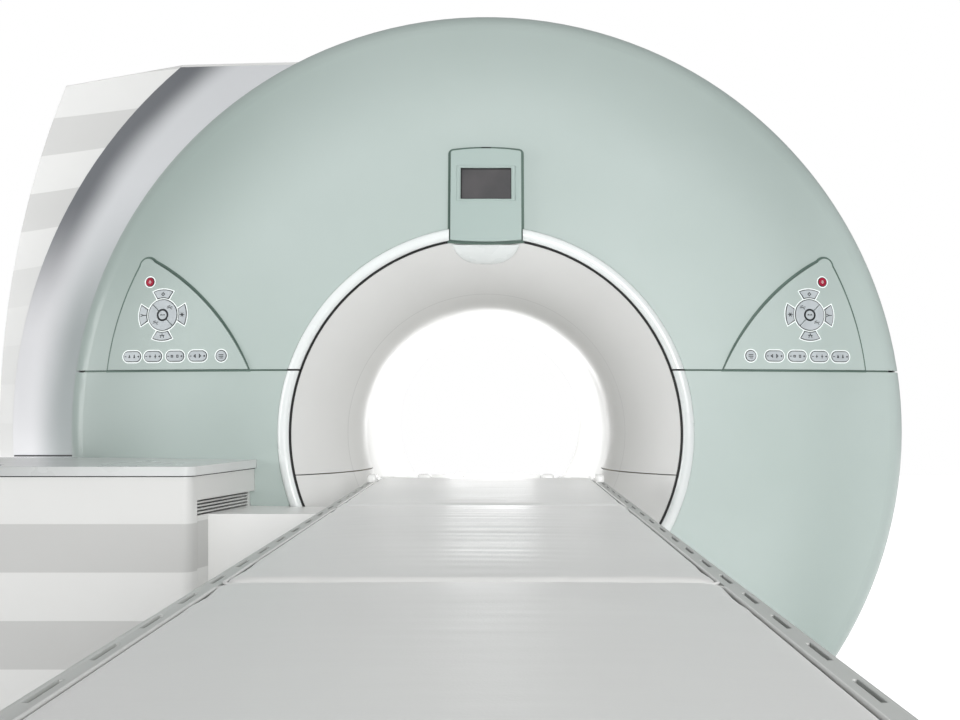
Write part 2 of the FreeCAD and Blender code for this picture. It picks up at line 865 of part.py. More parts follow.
def cabinet_plan(inset):
    """Seen from above: a straight front, a rounded front corner and an angled right side."""
    front = cabinet_front + inset
    right = cabinet_right - inset
    back = cabinet_back - inset
    right_back = right + cabinet_side_inset
    corner = corner_radius - inset
    slope = cabinet_side_inset / (cabinet_back - cabinet_front)
    setback = corner * math.tan((math.pi / 2 - math.atan(slope)) / 2)
    start = (right - setback, front)
    lean = math.atan(slope)
    end = (right + setback * math.sin(lean), front + setback * math.cos(lean))
    centre = (start[0], start[1] + corner)
    middle_turn = (-math.pi / 2 - lean) / 2
    middle = (centre[0] + corner * math.cos(middle_turn), centre[1] + corner * math.sin(middle_turn))
    return [(cabinet_left + inset, front), start, (*middle, *end), (right_back, back),
            (cabinet_left + inset, back)]


lid_low = cabinet_top - lid_thickness
behind_dome = ball(seat_gap)
behind_wall = ball(seat_gap + cabinet_wall)
lean = math.degrees(math.atan(cabinet_side_inset / (cabinet_back - cabinet_front)))


def beside_cabinet(x0, x1, d0, d1, z0, z1):
    """A box in the frame of the cabinet's angled right side, measured from its front corner."""
    shape = Part.makeBox(x1 - x0, d1 - d0, z1 - z0, V(x0, d0, bore_height + z0))
    shape.rotate(V(0, 0, 0), V(0, 0, 1), -lean)
    shape.translate(V(cabinet_right, mouth_y + cabinet_front, 0))
    return shape


def recess(grow):
    """The hollow below the cabinet's side band, where the louvre and the plinth sit."""
    start = corner_radius + 2 * cabinet_wall - grow
    return beside_cabinet(-recess_depth - grow, recess_width, start, recess_reach,
                          -bore_height - over, recess_top + grow)


cabinet_form = plan_plate(cabinet_plan(0), -bore_height, lid_low).cut(recess(0))
cabinet_room = plan_plate(cabinet_plan(cabinet_wall), -bore_height - over, lid_low + over)
cabinet_room = cabinet_room.cut(recess(cabinet_wall)).cut(behind_wall)
cabinet = cabinet_form.cut(behind_dome).cut(cabinet_room)
slats = []
for i in range(slat_count):
    low = recess_top - slat_pitch * (i + slat_first)
    slats.append(beside_cabinet(-recess_depth - slat_half_depth, -recess_depth + slat_half_depth,
                                slat_start, slat_end, low, low + slat_pitch / 2))
save("side_cabinet", cabinet.cut(Part.makeCompound(slats)))
lid = plan_plate(cabinet_plan(-lid_overhang), lid_low, cabinet_top).cut(behind_dome)
save("cabinet_lid", lid)

plinth_right = -table_width / 2 - plinth_table_gap
plinth = block(cabinet_right - recess_depth, plinth_right, plinth_front, cabinet_back,
               -bore_height, plinth_top)
plinth_room = block(-big, plinth_right - cabinet_wall, plinth_front + cabinet_wall, cabinet_back,
                    -bore_height - over, plinth_top - cabinet_wall)
ring_room = drum(ring_outer + ring_clearance, -ring_proud - ring_clearance, cabinet_back + over)
plinth = plinth.cut(plinth_room.cut(behind_wall)).cut(behind_dome).cut(ring_room)
save("plinth", plinth.cut(cabinet_form))

# ---- Bore deck: the bridge that carries the tabletop through the bore

tray_low = table_top - cushion_thickness - table_depth
deck_top = tray_low - slide_gap - deck_rail_height
deck_low = deck_top - deck_thickness
deck_end = cover_length - deck_end_gap
deck = [block(-deck_half_width, deck_half_width, deck_end_gap, deck_end, deck_low, deck_top)]
for side in (-1, 1):
    rail_x = side * deck_half_width / 2
    deck.append(block(rail_x - deck_rail_half, rail_x + deck_rail_half, deck_end_gap, deck_end,
                      deck_top, deck_top + deck_rail_height))
    leg_x = side * deck_half_width * deck_leg_place
    leg = block(leg_x - deck_leg_half, leg_x + deck_leg_half, funnel_depth,
                cover_length - funnel_depth, -bore_radius, deck_low)
    deck.append(leg.common(drum(bore_radius - contact, -big, big)))
save("bore_deck", fused(deck))

# ---- Patient table: floor plate and three telescoping tubes round a two-stage ram

column_x = column_width / 2
column_back = -column_from_mouth
column_front = column_back - column_length
column_y = mouth_y + (column_back + column_front) / 2
frame_top = tray_low - slide_gap
frame_low = frame_top - frame_height
frame_low_floor = bore_height + frame_low
sleeve_inner = ram_radius + ram_gap
sleeve_outer = sleeve_inner + sleeve_wall
barrel_inner = sleeve_outer + ram_gap
stage_step = tube_wall + tube_gap


def tube(stage, low, high):
    """One rectangular tube of the column, between two heights above the floor."""
    grow = stage * stage_step
    outer = Part.makeBox(
        column_width + 2 * grow, column_length + 2 * grow, high - low,
        V(-column_x - grow, mouth_y + column_front - grow, low))
    inner = Part.makeBox(
        column_width + 2 * (grow - tube_wall), column_length + 2 * (grow - tube_wall), high - low,
        V(-column_x - grow + tube_wall, mouth_y + column_front - grow + tube_wall, low))
    return outer.cut(inner)


lowered = frame_low_floor - lift_travel
fixed_top = lowered - 3 * closed_gap
middle_top = lowered - closed_gap + lift_travel / 2
middle_low = base_plate + closed_gap + lift_travel / 2
upper_low = base_plate + 2 * closed_gap + lift_travel
plate_half = table_width / 2 + plinth_table_gap
plate_back = -base_front_gap
plate_front = column_front - base_margin
base = [
    block(-plate_half, plate_half, plate_front, plate_back, -bore_height, base_plate - bore_height),
    tube(0, base_plate, fixed_top),
    post(barrel_inner + barrel_wall, 0, column_y, base_plate, fixed_top),
]
base = fused(base).cut(post(barrel_inner, 0, column_y, base_plate, big))
for x in (-plate_half + base_bolt_inset, plate_half - base_bolt_inset):
    for depth in (plate_front + base_bolt_inset, plate_back - base_bolt_inset):
        base = base.cut(post(base_bolt_radius, x, mouth_y + depth, -over, base_plate + over))
save("table_base", base)

bridge = Part.makeBox(
    column_width + 2 * (tube_gap + bridge_lap), column_length + 2 * (tube_gap + bridge_lap), closed_gap,
    V(-column_x - tube_gap - bridge_lap, mouth_y + column_front - tube_gap - bridge_lap,
      middle_top - closed_gap))
middle = fused([
    tube(1, middle_low, middle_top),
    bridge,
    post(sleeve_outer, 0, column_y, middle_low, middle_top),
])
save("middle_column", middle.cut(post(sleeve_inner, 0, column_y, 0, big)))

frame_back = -frame_front
frame_end = frame_back - frame_length
frame = block(-frame_width / 2, frame_width / 2, frame_end, frame_back, frame_low, frame_top)
frame_room = block(-frame_width / 2 + cover_wall, frame_width / 2 - cover_wall, frame_end + cover_wall,
                   frame_back - cover_wall, frame_low - over, frame_top - cover_wall)
floor_web = block(-frame_width / 2, frame_width / 2, column_front - 4 * stage_step,
                  column_back + 4 * stage_step, frame_low, frame_low + cover_wall)
frame = fused([
    frame.cut(frame_room),
    floor_web,
    tube(2, upper_low, frame_low_floor),
    post(ram_radius, 0, column_y, upper_low, frame_low_floor),
])
save("table_frame", frame)

# ---- Tabletop: a shallow tray with slotted side rails, end clips and three cushions

half = table_width / 2
tray_floor = table_top - cushion_thickness
rail_top = table_top - rail_drop
rail_low = rail_top - cushion_side
head_end = -table_head_gap
foot_end = head_end - table_length
keel = table_keel_width / 2
tray = front_plate(
    [(-keel, tray_low), (-half, rail_low), (-half, rail_top), (half, rail_top), (half, rail_low),
     (keel, tray_low)],
    foot_end, head_end)
tray = tray.cut(block(-half + rail_width, half - rail_width, foot_end + end_wall, head_end - end_wall,
                      tray_floor, 0))
slots = []
slot_count = int((table_length - 2 * end_wall) // slot_pitch)
for i in range(slot_count):
    middle = head_end - slot_pitch * (i + slot_first)
    for side in (-1, 1):
        x = side * (half - slot_inset)
        slots.append(block(x - slot_width / 2, x + slot_width / 2, middle - slot_length / 2,
                           middle + slot_length / 2, rail_top - slot_depth, 0))
tray = tray.cut(Part.makeCompound(slots))
outer_clip = half - clip_inset
inner_clip = half / 2 + inner_clip_offset
clips = [block(x - clip_width / 2, x + clip_width / 2, head_end - clip_depth, head_end + clip_front,
               rail_low + clip_foot, table_top + clip_rise)
         for x in (-outer_clip, -inner_clip, inner_clip, outer_clip)]
save("tabletop", fused([tray] + clips))

cushion_half = half - rail_width - cushion_gap
cushion_ends = [head_end - clip_depth - contact]
cushion_ends.append(cushion_ends[0] - cushion_head_length)
cushion_ends.append(cushion_ends[1] - cushion_joint - cushion_middle_length)
cushion_ends.append(foot_end + end_wall + cushion_gap)
for i, name in enumerate(("cushion_head", "cushion_middle", "cushion_foot")):
    start = cushion_ends[i] - (cushion_joint if i else 0)
    cushion = block(-cushion_half, cushion_half, cushion_ends[i + 1], start, tray_floor, table_top)
    save(name, cushion)
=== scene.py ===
# %% [markdown]
# # A whole-body magnetic resonance scanner and its patient table
# The hard pieces come from a CAD model and stay where they are. This lesson gives them their
# finishes, builds the soft and small pieces that CAD left plain, and sets up a pale studio.
# Every length is in metres. X runs to the right, Y goes into the bore, and Z is up.

# %% Load the frame
import math

import bmesh
import bpy
import numpy as np
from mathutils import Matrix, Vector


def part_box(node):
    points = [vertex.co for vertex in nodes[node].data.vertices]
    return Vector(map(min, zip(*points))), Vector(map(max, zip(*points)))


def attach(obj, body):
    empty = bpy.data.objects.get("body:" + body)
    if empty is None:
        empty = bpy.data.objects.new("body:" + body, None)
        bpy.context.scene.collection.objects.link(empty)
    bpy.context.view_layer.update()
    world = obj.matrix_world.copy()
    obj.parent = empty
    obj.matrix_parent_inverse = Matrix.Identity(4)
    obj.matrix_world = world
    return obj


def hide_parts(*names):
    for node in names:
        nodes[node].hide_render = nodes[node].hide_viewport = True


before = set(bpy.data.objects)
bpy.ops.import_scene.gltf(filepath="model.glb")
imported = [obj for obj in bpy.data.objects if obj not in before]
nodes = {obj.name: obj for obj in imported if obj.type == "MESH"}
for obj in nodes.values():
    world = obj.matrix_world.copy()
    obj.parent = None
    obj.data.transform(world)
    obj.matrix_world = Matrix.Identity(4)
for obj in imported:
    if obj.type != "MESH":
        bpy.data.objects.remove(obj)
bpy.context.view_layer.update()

# %% [markdown]
# ## The shapes that new pieces follow
# The front cover is part of a large sphere, and the funnel is a bell. Trims, keys and icons lie
# on these surfaces, so their formulas come first. The bore's height is read from the lining.

# %% The bore axis, the dome and the bell
lining_low, lining_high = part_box("body_coil_tube")
bore_height = (lining_low.z + lining_high.z) / 2
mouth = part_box("front_funnel_lower")[0].y - 0.002
mouth_radius = 0.444
ring_outer = 0.470
dome_radius = 2.757
dome_centre = mouth + 0.006 + math.sqrt(dome_radius**2 - ring_outer**2)
bore_radius = 0.300
funnel_lip = 0.438
funnel_depth = 0.300
split = 0.145  # the joint's height over the bore's axis
panel_inner = ring_outer + 0.069  # the panels' corner nearest the mouth
print("bore height", round(bore_height, 3), "mouth at y", round(mouth, 3))


def on_dome(x, z, lift):
    """Points over the dome: y = centre - sqrt((radius + lift)^2 - x^2 - z^2), z from the axis."""
    x, z, lift = np.broadcast_arrays(x, z, lift)
    y = dome_centre - np.sqrt((dome_radius + lift) ** 2 - x**2 - z**2)
    return np.stack([x, y, bore_height + z], -1)


def bell_radius(depth):
    """The funnel's radius: one circular arc that leaves the bore straight and opens out."""
    rise, run = funnel_lip - bore_radius, funnel_depth - 0.002
    arc = (rise**2 + run**2) / (2 * rise)
    return bore_radius + arc - np.sqrt(arc**2 - (funnel_depth - depth) ** 2)


# %% [markdown]
# ## Making a surface from arrays
# A new piece is a grid of points worked out as whole arrays. One helper joins neighbours into
# four-sided faces, closes the grid where its ends meet, and gives the piece its finish and body.


# %% Grid surfaces
def surface(name, points, finish, body, around=True, along=False, weld=0.0, cap=True):
    """A mesh from points[i, j]: j closes round if around, i closes if along, else ends get caps."""
    rows, cols = points.shape[:2]
    index = np.arange(rows * cols).reshape(rows, cols)
    right = np.roll(index, -1, 1) if around else index[:, 1:]
    here = index if around else index[:, :-1]
    if along:
        below_here, below_right = np.roll(here, -1, 0), np.roll(right, -1, 0)
    else:
        below_here, below_right = here[1:], right[1:]
        here, right = here[:-1], right[:-1]
    quads = np.stack([here, right, below_right, below_here], -1).reshape(-1, 4).tolist()
    if around and not along and cap:
        quads += [index[0][::-1].tolist(), index[-1].tolist()]
    mesh = bpy.data.meshes.new(name)
    mesh.from_pydata(points.reshape(-1, 3), [], quads)
    return piece(name, mesh, finish, body, weld)


def piece(name, mesh, finish, body, weld=0.0):
    """Put a mesh in the scene: merge doubles, point its faces outwards, shade it, ride a body."""
    work = bmesh.new()
    work.from_mesh(mesh)
    if weld:
        bmesh.ops.remove_doubles(work, verts=work.verts, dist=weld)
    bmesh.ops.recalc_face_normals(work, faces=work.faces)
    work.to_mesh(mesh)
    work.free()
    mesh.shade_smooth()
    made = bpy.data.objects.new(name, mesh)
    bpy.context.scene.collection.objects.link(made)
    mesh.materials.append(finish)
    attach(made, body)
    return made


def crease(made):
    """Keep edges sharper than 35 degrees crisp, and let the rest shade smoothly."""
    made.data.set_sharp_from_angle(angle=math.radians(35))
    return made


# %% [markdown]
# ## Colours and finishes
# A moulded cover is never one flat colour: its tone drifts over a hand's breadth, its gloss
# varies, and its skin has a fine orange peel. One helper builds that from three noises on the
# object's own coordinates, and each finish sets its numbers.


# %% Node helpers
white = (1.0, 1.0, 1.0, 1.0)


def linear(code):
    """Six hex digits of a screen colour, as linear red, green and blue with alpha."""
    v = np.array([int(code[i:i + 2], 16) for i in (0, 2, 4)]) / 255
    v = np.where(v <= 0.04045, v / 12.92, ((v + 0.055) / 1.055) ** 2.4)
    return (*v.tolist(), 1.0)


class Finish:
    """A material under construction, with short calls for the nodes that this lesson uses."""

    def __init__(self, name):
        self.material = bpy.data.materials.new(name)
        self.material.use_nodes = True
        self.tree = self.material.node_tree
        self.shader = self.tree.nodes["Principled BSDF"]
        self.place = self.add("ShaderNodeTexCoord").outputs["Object"]

    def feed(self, socket, value):
        """Give a socket its value: another node's socket, hex digits of a colour, or a constant."""
        if isinstance(value, bpy.types.NodeSocket):
            self.tree.links.new(value, socket)
        else:
            socket.default_value = linear(value) if isinstance(value, str) else value

    def add(self, kind, inputs=None, **settings):
        node = self.tree.nodes.new(kind)
        for key, value in settings.items():
            setattr(node, key, value)
        for key, value in (inputs or {}).items():
            self.feed(node.inputs[key], value)
        return node

    def set(self, **values):
        """Feed the shader's own sockets."""
        for key, value in values.items():
            self.feed(self.shader.inputs[key.replace("_", " ")], value)

    def tone(self):
        """The colour joined so far, for a further blend."""
        return self.shader.inputs["Base Color"].links[0].from_socket

    def stretched(self, scale):
        """Object coordinates multiplied by a factor for each axis."""
        return self.add("ShaderNodeMapping", {"Vector": self.place, "Scale": scale}).outputs[0]

    def noise(self, scale, detail=3.0, roughness=0.5, vector=None):
        return self.add("ShaderNodeTexNoise", {
            "Vector": vector or self.place, "Scale": scale, "Detail": detail,
            "Roughness": roughness}).outputs["Fac"]

    def cells(self, scale, feature="F1"):
        """Distance to the middle of the nearest of many small cells."""
        return self.add("ShaderNodeTexVoronoi", {"Vector": self.place, "Scale": scale},
                        feature=feature).outputs["Distance"]

    def math(self, operation, *values):
        node = self.add("ShaderNodeMath", dict(enumerate(values)), operation=operation)
        return node.outputs[0]

    def axis(self, name):
        """One of the object's coordinates, X, Y or Z."""
        return self.add("ShaderNodeSeparateXYZ", {0: self.place}).outputs[name]

    def about_bore(self):
        """X, the height over the bore's axis, and the distance from that axis."""
        x, z = self.axis("X"), self.math("SUBTRACT", self.axis("Z"), bore_height)
        squares = [self.math("MULTIPLY", v, v) for v in (x, z)]
        return x, z, self.math("SQRT", self.math("ADD", *squares))

    def spread(self, value, low, high, start=0.3, stop=0.7):
        """Map a noise's middle range on to a new range."""
        return self.add("ShaderNodeMapRange", {
            "Value": value, "From Min": start, "From Max": stop, "To Min": low,
            "To Max": high}).outputs["Result"]

    def smooth(self, value, start, stop):
        """0 below start, 1 above stop, and an S-curve between them."""
        return self.add("ShaderNodeMapRange", {"Value": value, "From Min": start, "From Max": stop},
                        interpolation_type="SMOOTHSTEP").outputs["Result"]

    def mix(self, share, a, b):
        """Blend two colours; each is hex digits or a socket."""
        node = self.add("ShaderNodeMix", {0: share}, data_type="RGBA")
        for socket, value in zip([s for s in node.inputs if s.type == "RGBA"], (a, b)):
            self.feed(socket, value)
        return [s for s in node.outputs if s.type == "RGBA"][0]

    def rough(self, low, high, scale=6.0):
        """Gloss that varies over the surface between two roughnesses."""
        self.set(Roughness=self.spread(self.noise(scale, 4.0), low, high))

    def relief(self, height, strength, distance, under=None):
        """Bump from a height, over an earlier bump or a rounded edge if one is given."""
        inputs = {"Height": height, "Strength": strength, "Distance": distance}
        if under is not None:
            inputs["Normal"] = under
        bump = self.add("ShaderNodeBump", inputs).outputs["Normal"]
        self.set(Normal=bump)
        return bump

    def soft_edges(self, radius):
        """Normals that round every edge off, as a moulding's or a fold's edges are."""
        return self.add("ShaderNodeBevel", {"Radius": radius}, samples=4).outputs["Normal"]


def moulded(name, tone, deep, low, high, peel=0.06, edge=0.002, scale=2.2, coat=0.0):
    """A moulded or sprayed skin: drifting tone, varying gloss and a fine orange peel."""
    f = Finish(name)
    f.set(Base_Color=f.mix(f.spread(f.noise(scale, 4.0), 0.0, 1.0), tone, deep))
    f.rough(low, high)
    f.relief(f.noise(420.0, 2.0), peel, 0.0006, f.soft_edges(edge) if edge else None)
    f.set(Coat_Weight=coat, Coat_Roughness=0.12)
    return f


# %% Finishes of the covers
def sage_with_painted_rim_shade():
    """Sage enamel with painted shade: its tone deepens towards the cover's rim, most on the left."""
    f = moulded("sage_enamel", "b9c5c1", "b3c0bb", 0.34, 0.42, coat=0.2)
    x, _, radius = f.about_bore()
    all_but_right = f.math("SUBTRACT", 1.0, f.smooth(x, 0.70, 0.93))
    far_left = f.math("SUBTRACT", 1.0, f.smooth(x, -0.85, -0.30))
    side = f.math("ADD", f.math("MULTIPLY", all_but_right, 0.6), f.math("MULTIPLY", far_left, 0.4))
    # Painted shade: the sage darkens towards the rim, most on the left.
    share = f.math("MULTIPLY", f.smooth(radius, 0.68, 0.97), side)
    f.set(Base_Color=f.mix(share, f.tone(), "97a49f"))
    return f.material


def shade_graded(name, along, start, stop, tones, low, high, coat):
    """Enamel whose tone moves from tones[0] to tones[1] between two places along X, Y or Z: a painted
    shade and reflection across the piece.
    """
    f = moulded(name, tones[0], tones[1], low, high, coat=coat)
    drift = f.spread(f.noise(2.2, 4.0), -0.12, 0.12)
    f.set(Base_Color=f.mix(f.math("ADD", f.smooth(f.axis(along), start, stop), drift), *tones))
    return f.material


sage = sage_with_painted_rim_shade()
# The ring's white is painted darker towards the right: painted shade.
trim_white = shade_graded("trim_white", "X", 0.15, 0.47, ("ebefee", "d9dddc"), 0.22, 0.30, 0.3)
# The lid is painted darker on the left and lighter to the right: painted shade and reflection.
lid_grey = shade_graded("lid_grey", "X", -1.15, -0.65, ("aeb0af", "d4d6d5"), 0.24, 0.34, 0.4)
display_sage = moulded("display_enamel", "adbdb8", "a8b8b3", 0.34, 0.42, coat=0.2).material
plain_side = moulded("plain_side_cover", "e6e6e4", "dededc", 0.36, 0.46).material
deck_white = moulded("deck_composite", "e8e8e6", "dededc", 0.42, 0.52).material
plinth_white = moulded("plinth_white", "f0f0ee", "e8e8e6", 0.3, 0.4, coat=0.2).material
table_white = moulded("table_paint", "e0e0de", "d6d6d4", 0.34, 0.44).material

# %% [markdown]
# The funnel has one faint joint ring where its mouldings meet. It is too fine to be a groove, so
# it is drawn as a darker tone at one place along the bore.

# %% Funnel and lining
joint_ring_y = mouth + 0.152


def funnel_with_painted_shade():
    """White satin plastic with painted shade, greyer on the right, and a dark line where y meets the
    joint ring.
    """
    f = moulded("funnel_white", "e4e4e2", "dddddb", 0.38, 0.48)
    away = f.math("ABSOLUTE", f.math("SUBTRACT", f.axis("Y"), joint_ring_y))
    line = f.math("SUBTRACT", 1.0, f.math("SMOOTH_MIN", f.math("DIVIDE", away, 0.0016), 1.0, 0.2))
    # Painted shade: the funnel is greyer on the right.
    painted_right_shade = f.mix(f.smooth(f.axis("X"), 0.0, 0.3), f.tone(), "d3d3d1")
    f.set(Base_Color=f.mix(f.math("MULTIPLY", line, 0.45), painted_right_shade, "a8a8a6"))
    return f.material


funnel_white = funnel_with_painted_shade()


def lining_with_painted_glow():
    """Lining made to glow as painted light in the bore: its glow rises over 0.3 m from the funnels'
    ends.
    """
    f = moulded("lining_white", "dadad8", "d6d6d4", 0.4, 0.5, edge=0)
    middle = (lining_low.y + lining_high.y) / 2
    inside = (lining_high.y - lining_low.y) / 2
    away = f.math("ABSOLUTE", f.math("SUBTRACT", f.axis("Y"), middle))
    glow = f.math("SUBTRACT", 1.0, f.smooth(away, inside - 0.40, inside - 0.03))
    # Painted light: the lining glows although it is no lamp.
    f.set(Emission_Color=(1.0, 1.0, 0.985, 1.0), Emission_Strength=f.math("MULTIPLY", glow, 0.36))
    return f.material


lining_white = lining_with_painted_glow()

# %% [markdown]
# ## Banded covers
# The left side cover and the cabinet carry broad level bands of white and light grey paint. A
# band is a choice between two colours by height, with edges a millimetre soft, as sprayed
# masking leaves them. The cover's bands are even; the cabinet's start under its lid.


# %% Bands
masking_edge = 0.001


def banded(name, top, pitch, white, grey, fade=0.0, fade_heights=(1.35, 1.6)):
    """Paint that changes every pitch below a height; its grey is fainter by fade low down."""
    f = moulded(name, white, white, 0.30, 0.40, edge=0.004, coat=0.2)
    turns = f.math("DIVIDE", f.math("SUBTRACT", top, f.axis("Z")), 2 * pitch)
    ramp = f.math("PINGPONG", turns, 0.5)
    soft = masking_edge / (2 * pitch)
    share = f.spread(ramp, 0.0, 1.0, 0.25 - soft, 0.25 + soft)
    drift = f.spread(f.noise(3.0, 4.0), 0.0, 0.05)
    if fade:
        share = f.math("MULTIPLY", share, f.spread(f.axis("Z"), 1.0 - fade, 1.0, *fade_heights))
    f.set(Base_Color=f.mix(f.math("ADD", share, drift), white, grey))
    return f.material


stripe_pitch, first_stripe = 0.1045, bore_height + 0.851
striped_side = banded("striped_side_cover", first_stripe + stripe_pitch / 2, stripe_pitch,
                      "e6e6e4", "d2d2d0", fade=0.75)
cabinet_pitch, first_band = 0.0977, bore_height - 0.173
cabinet_bands = banded("cabinet_paint", first_band + cabinet_pitch / 2, cabinet_pitch,
                       "d8d8d6", "bebebc")
print("banded finishes at pitches", stripe_pitch, cabinet_pitch)

# %% [markdown]
# ## Silver flare
# The flare behind the front cover is sprayed silver: small flat flakes in a clear lacquer. A
# slightly metallic base with small cells for the flakes, and a coat over it, gives a soft sheen.
# Its tone is painted from dark to light across the curve, as painted shade and reflection.


# %% Metals
def flaked(name, tone, deep, metal, low, high, flake=1400.0, grain=0.0):
    """Metallic paint: cells of slightly different tone and slope, or a grain, under a coat."""
    f = Finish(name)
    flakes = f.cells(flake)
    drift = f.spread(f.noise(1.6, 3.0), 0.0, 0.6)
    f.set(Base_Color=f.mix(f.math("ADD", drift, f.math("MULTIPLY", flakes, 0.4)), tone, deep))
    f.rough(low, high)
    brushed = f.noise(160.0, 4.0, vector=f.stretched((1.0, 14.0, 1.0))) if grain else flakes
    f.relief(brushed, grain or 0.05, 0.0004, f.soft_edges(0.002))
    f.set(Metallic=metal, Coat_Weight=0.25, Coat_Roughness=0.2)
    return f


def silver_with_painted_shading():
    """Silver with painted shade and reflection across the flare: light by the disc above, light at
    the outer edge below.
    """
    f = flaked("silver_flake", "e8eaec", "717479", 0.3, 0.34, 0.44)
    _, z, radius = f.about_bore()
    across = f.spread(radius, 0.0, 1.0, 1.0, 1.25)
    wave = f.math("ADD", across, f.spread(f.noise(1.6, 3.0), -0.06, 0.06))
    upper = f.mix(f.smooth(wave, 0.42, 0.92), "e8eaec", "717479")
    lower = f.mix(f.smooth(wave, 0.15, 0.75), "aab1b1", "e9e9eb")
    # Painted shade and reflection: the tone fades across the curve, reversed low down.
    f.set(Base_Color=f.mix(f.smooth(z, 0.22, 0.62), lower, upper))
    return f.material


silver = silver_with_painted_shading()
vessel_steel = flaked("vessel_steel", "c0c2c4", "a9acae", 0.9, 0.34, 0.5, grain=0.25).material
copper = flaked("winding_copper", "b5723c", "8f5528", 0.9, 0.3, 0.45, grain=0.3).material
cold_steel = flaked("cold_head_steel", "a9adb0", "93979a", 0.9, 0.28, 0.4, grain=0.2).material
iron = flaked("foot_iron", "55585b", "3f4245", 0.5, 0.5, 0.65, flake=500.0).material
coil_resin = moulded("coil_resin", "bda86f", "a08b55", 0.4, 0.6, peel=0.2, scale=6.0).material

# %% [markdown]
# ## Small parts' finishes
# Keys are silver-grey translucent plastic, the stop key is crimson, and light guides round the
# keys are white and faintly lit. Seals are black rubber, and the same black is painted shade in a
# few recesses and gaps; the grooves of the green covers hold a dark green painted shade.

# %% Keys, seals and screen
key_silver = moulded("key_silver", "bfc5c8", "b3b9bc", 0.3, 0.4, edge=0.0008, scale=40.0,
                     coat=0.3).material
stop_red = moulded("stop_red", "b0183c", "8c0f2c", 0.2, 0.3, edge=0.0008, scale=60.0,
                   coat=0.5).material
guide = moulded("light_guide", "e2e9e7", "d8e0de", 0.3, 0.4, edge=0, scale=60.0)
guide.set(Emission_Color=white, Emission_Strength=0.25)
guide_white = guide.material
# Black rubber for the seals; the same black is painted shade under the lid, at the flare, round the
# screen and in the display's notch.
seal_and_shade_black = moulded("rubber_and_painted_shade", "0c0d0d", "161817", 0.45, 0.6, peel=0.3, edge=0,
                     scale=30.0).material
# Dark green painted shade for the grooves and joints of the green covers.
groove_shade_green = moulded("groove_shade_green", "5f736a", "52665d", 0.5, 0.62, edge=0, scale=12.0).material
print_dark = moulded("icon_print", "24282a", "181b1c", 0.4, 0.5, edge=0, scale=80.0).material
# Dark plastic for the dial's collar, also painted shade in the gaps round the keys.
collar_and_gap_shade = moulded("dial_collar", "2a2e31", "1d2022", 0.25, 0.35, edge=0, scale=60.0).material


def screen_finish():
    """Switched-off display glass: dark grey, with a faint drift and a very fine relief."""
    f = Finish("screen_glass")
    f.set(Base_Color=f.mix(f.spread(f.noise(14.0, 3.0), 0.0, 1.0), "575556", "4b4b4c"))
    f.rough(0.18, 0.26, 30.0)
    f.relief(f.noise(900.0, 1.0), 0.05, 0.0002)
    f.set(Coat_Weight=0.3, Coat_Roughness=0.08)
    return f.material


screen_glass = screen_finish()


def vinyl(name, tone, deep):
    """Soft-touch upholstery with painted shade, darker at the foot end and paler towards the bore:
    pebbled cells over long low wrinkles.
    """
    f = Finish(name)
    pebble = f.cells(520.0, "SMOOTH_F1")
    ripple = f.noise(7.0, 5.0, 0.6, f.stretched((0.7, 2.6, 1.0)))
    drift = f.mix(f.spread(f.noise(2.4, 4.0), 0.0, 1.0), tone, deep)
    # Painted shade: the vinyl is darker towards the foot of the table.
    f.set(Base_Color=f.mix(f.smooth(f.axis("Y"), -2.6, -0.9), "c6c6c4", drift))
    f.rough(0.34, 0.46, 5.0)
    broad = f.relief(ripple, 0.10, 0.006)
    f.relief(pebble, 0.12, 0.0005, broad)
    f.set(Sheen_Weight=0.12, Coat_Weight=0.2, Coat_Roughness=0.32)
    return f.material


cushion_vinyl = vinyl("cushion_vinyl", "e4e4e2", "dcdcda")
piping_vinyl = vinyl("piping_vinyl", "dcdcda", "d2d2d0")
tray_grey = moulded("tray_composite", "bdbfbc", "b2b4b1", 0.36, 0.46, edge=0.0025).material
clip_white = moulded("clip_white", "f6f6f4", "eeeeec", 0.2, 0.3, edge=0, scale=40.0,
                     coat=0.4).material

# %% [markdown]
# ## Finishes on the CAD pieces
# A CAD piece keeps its mesh; only its material slot changes. Keys are matched by their names.

# %% Paint the frame
painted = (
    (sage, "front_cover_upper front_cover_lower rear_cover control_panel_left control_panel_right"),
    (display_sage, "display_housing"), (trim_white, "mouth_ring_upper mouth_ring_lower"),
    (funnel_white, "front_funnel_upper front_funnel_lower rear_funnel"),
    (lining_white, "body_coil_tube"), (silver, "flare_cover"), (striped_side, "side_cover_left"),
    (plain_side, "side_cover_right roof_cover"), (vessel_steel, "magnet_vessel quench_outlet"),
    (copper, "magnet_windings"), (cold_steel, "cold_head"), (coil_resin, "gradient_coil"),
    (iron, "magnet_feet"), (screen_glass, "display_glass"), (cabinet_bands, "side_cabinet"),
    (lid_grey, "cabinet_lid"), (plinth_white, "plinth"), (deck_white, "bore_deck"),
    (table_white, "table_base middle_column table_frame"), (tray_grey, "tabletop"),
    (cushion_vinyl, "cushion_head cushion_middle cushion_foot"),
)
node_finish = {name: finish for finish, names in painted for name in names.split()}
for name, node in nodes.items():
    key_finish = stop_red if name.endswith("stop_key") else key_silver
    node.data.materials.clear()
    node.data.materials.append(node_finish.get(name, key_finish))
print("painted", len(nodes), "CAD pieces")

# %% [markdown]
# ## The black seal at the mouth
# A rubber bead closes the gap between the white ring and the funnel. It is a ring: a small round
# profile carried round the bore axis. The bead is broken where the cover splits.


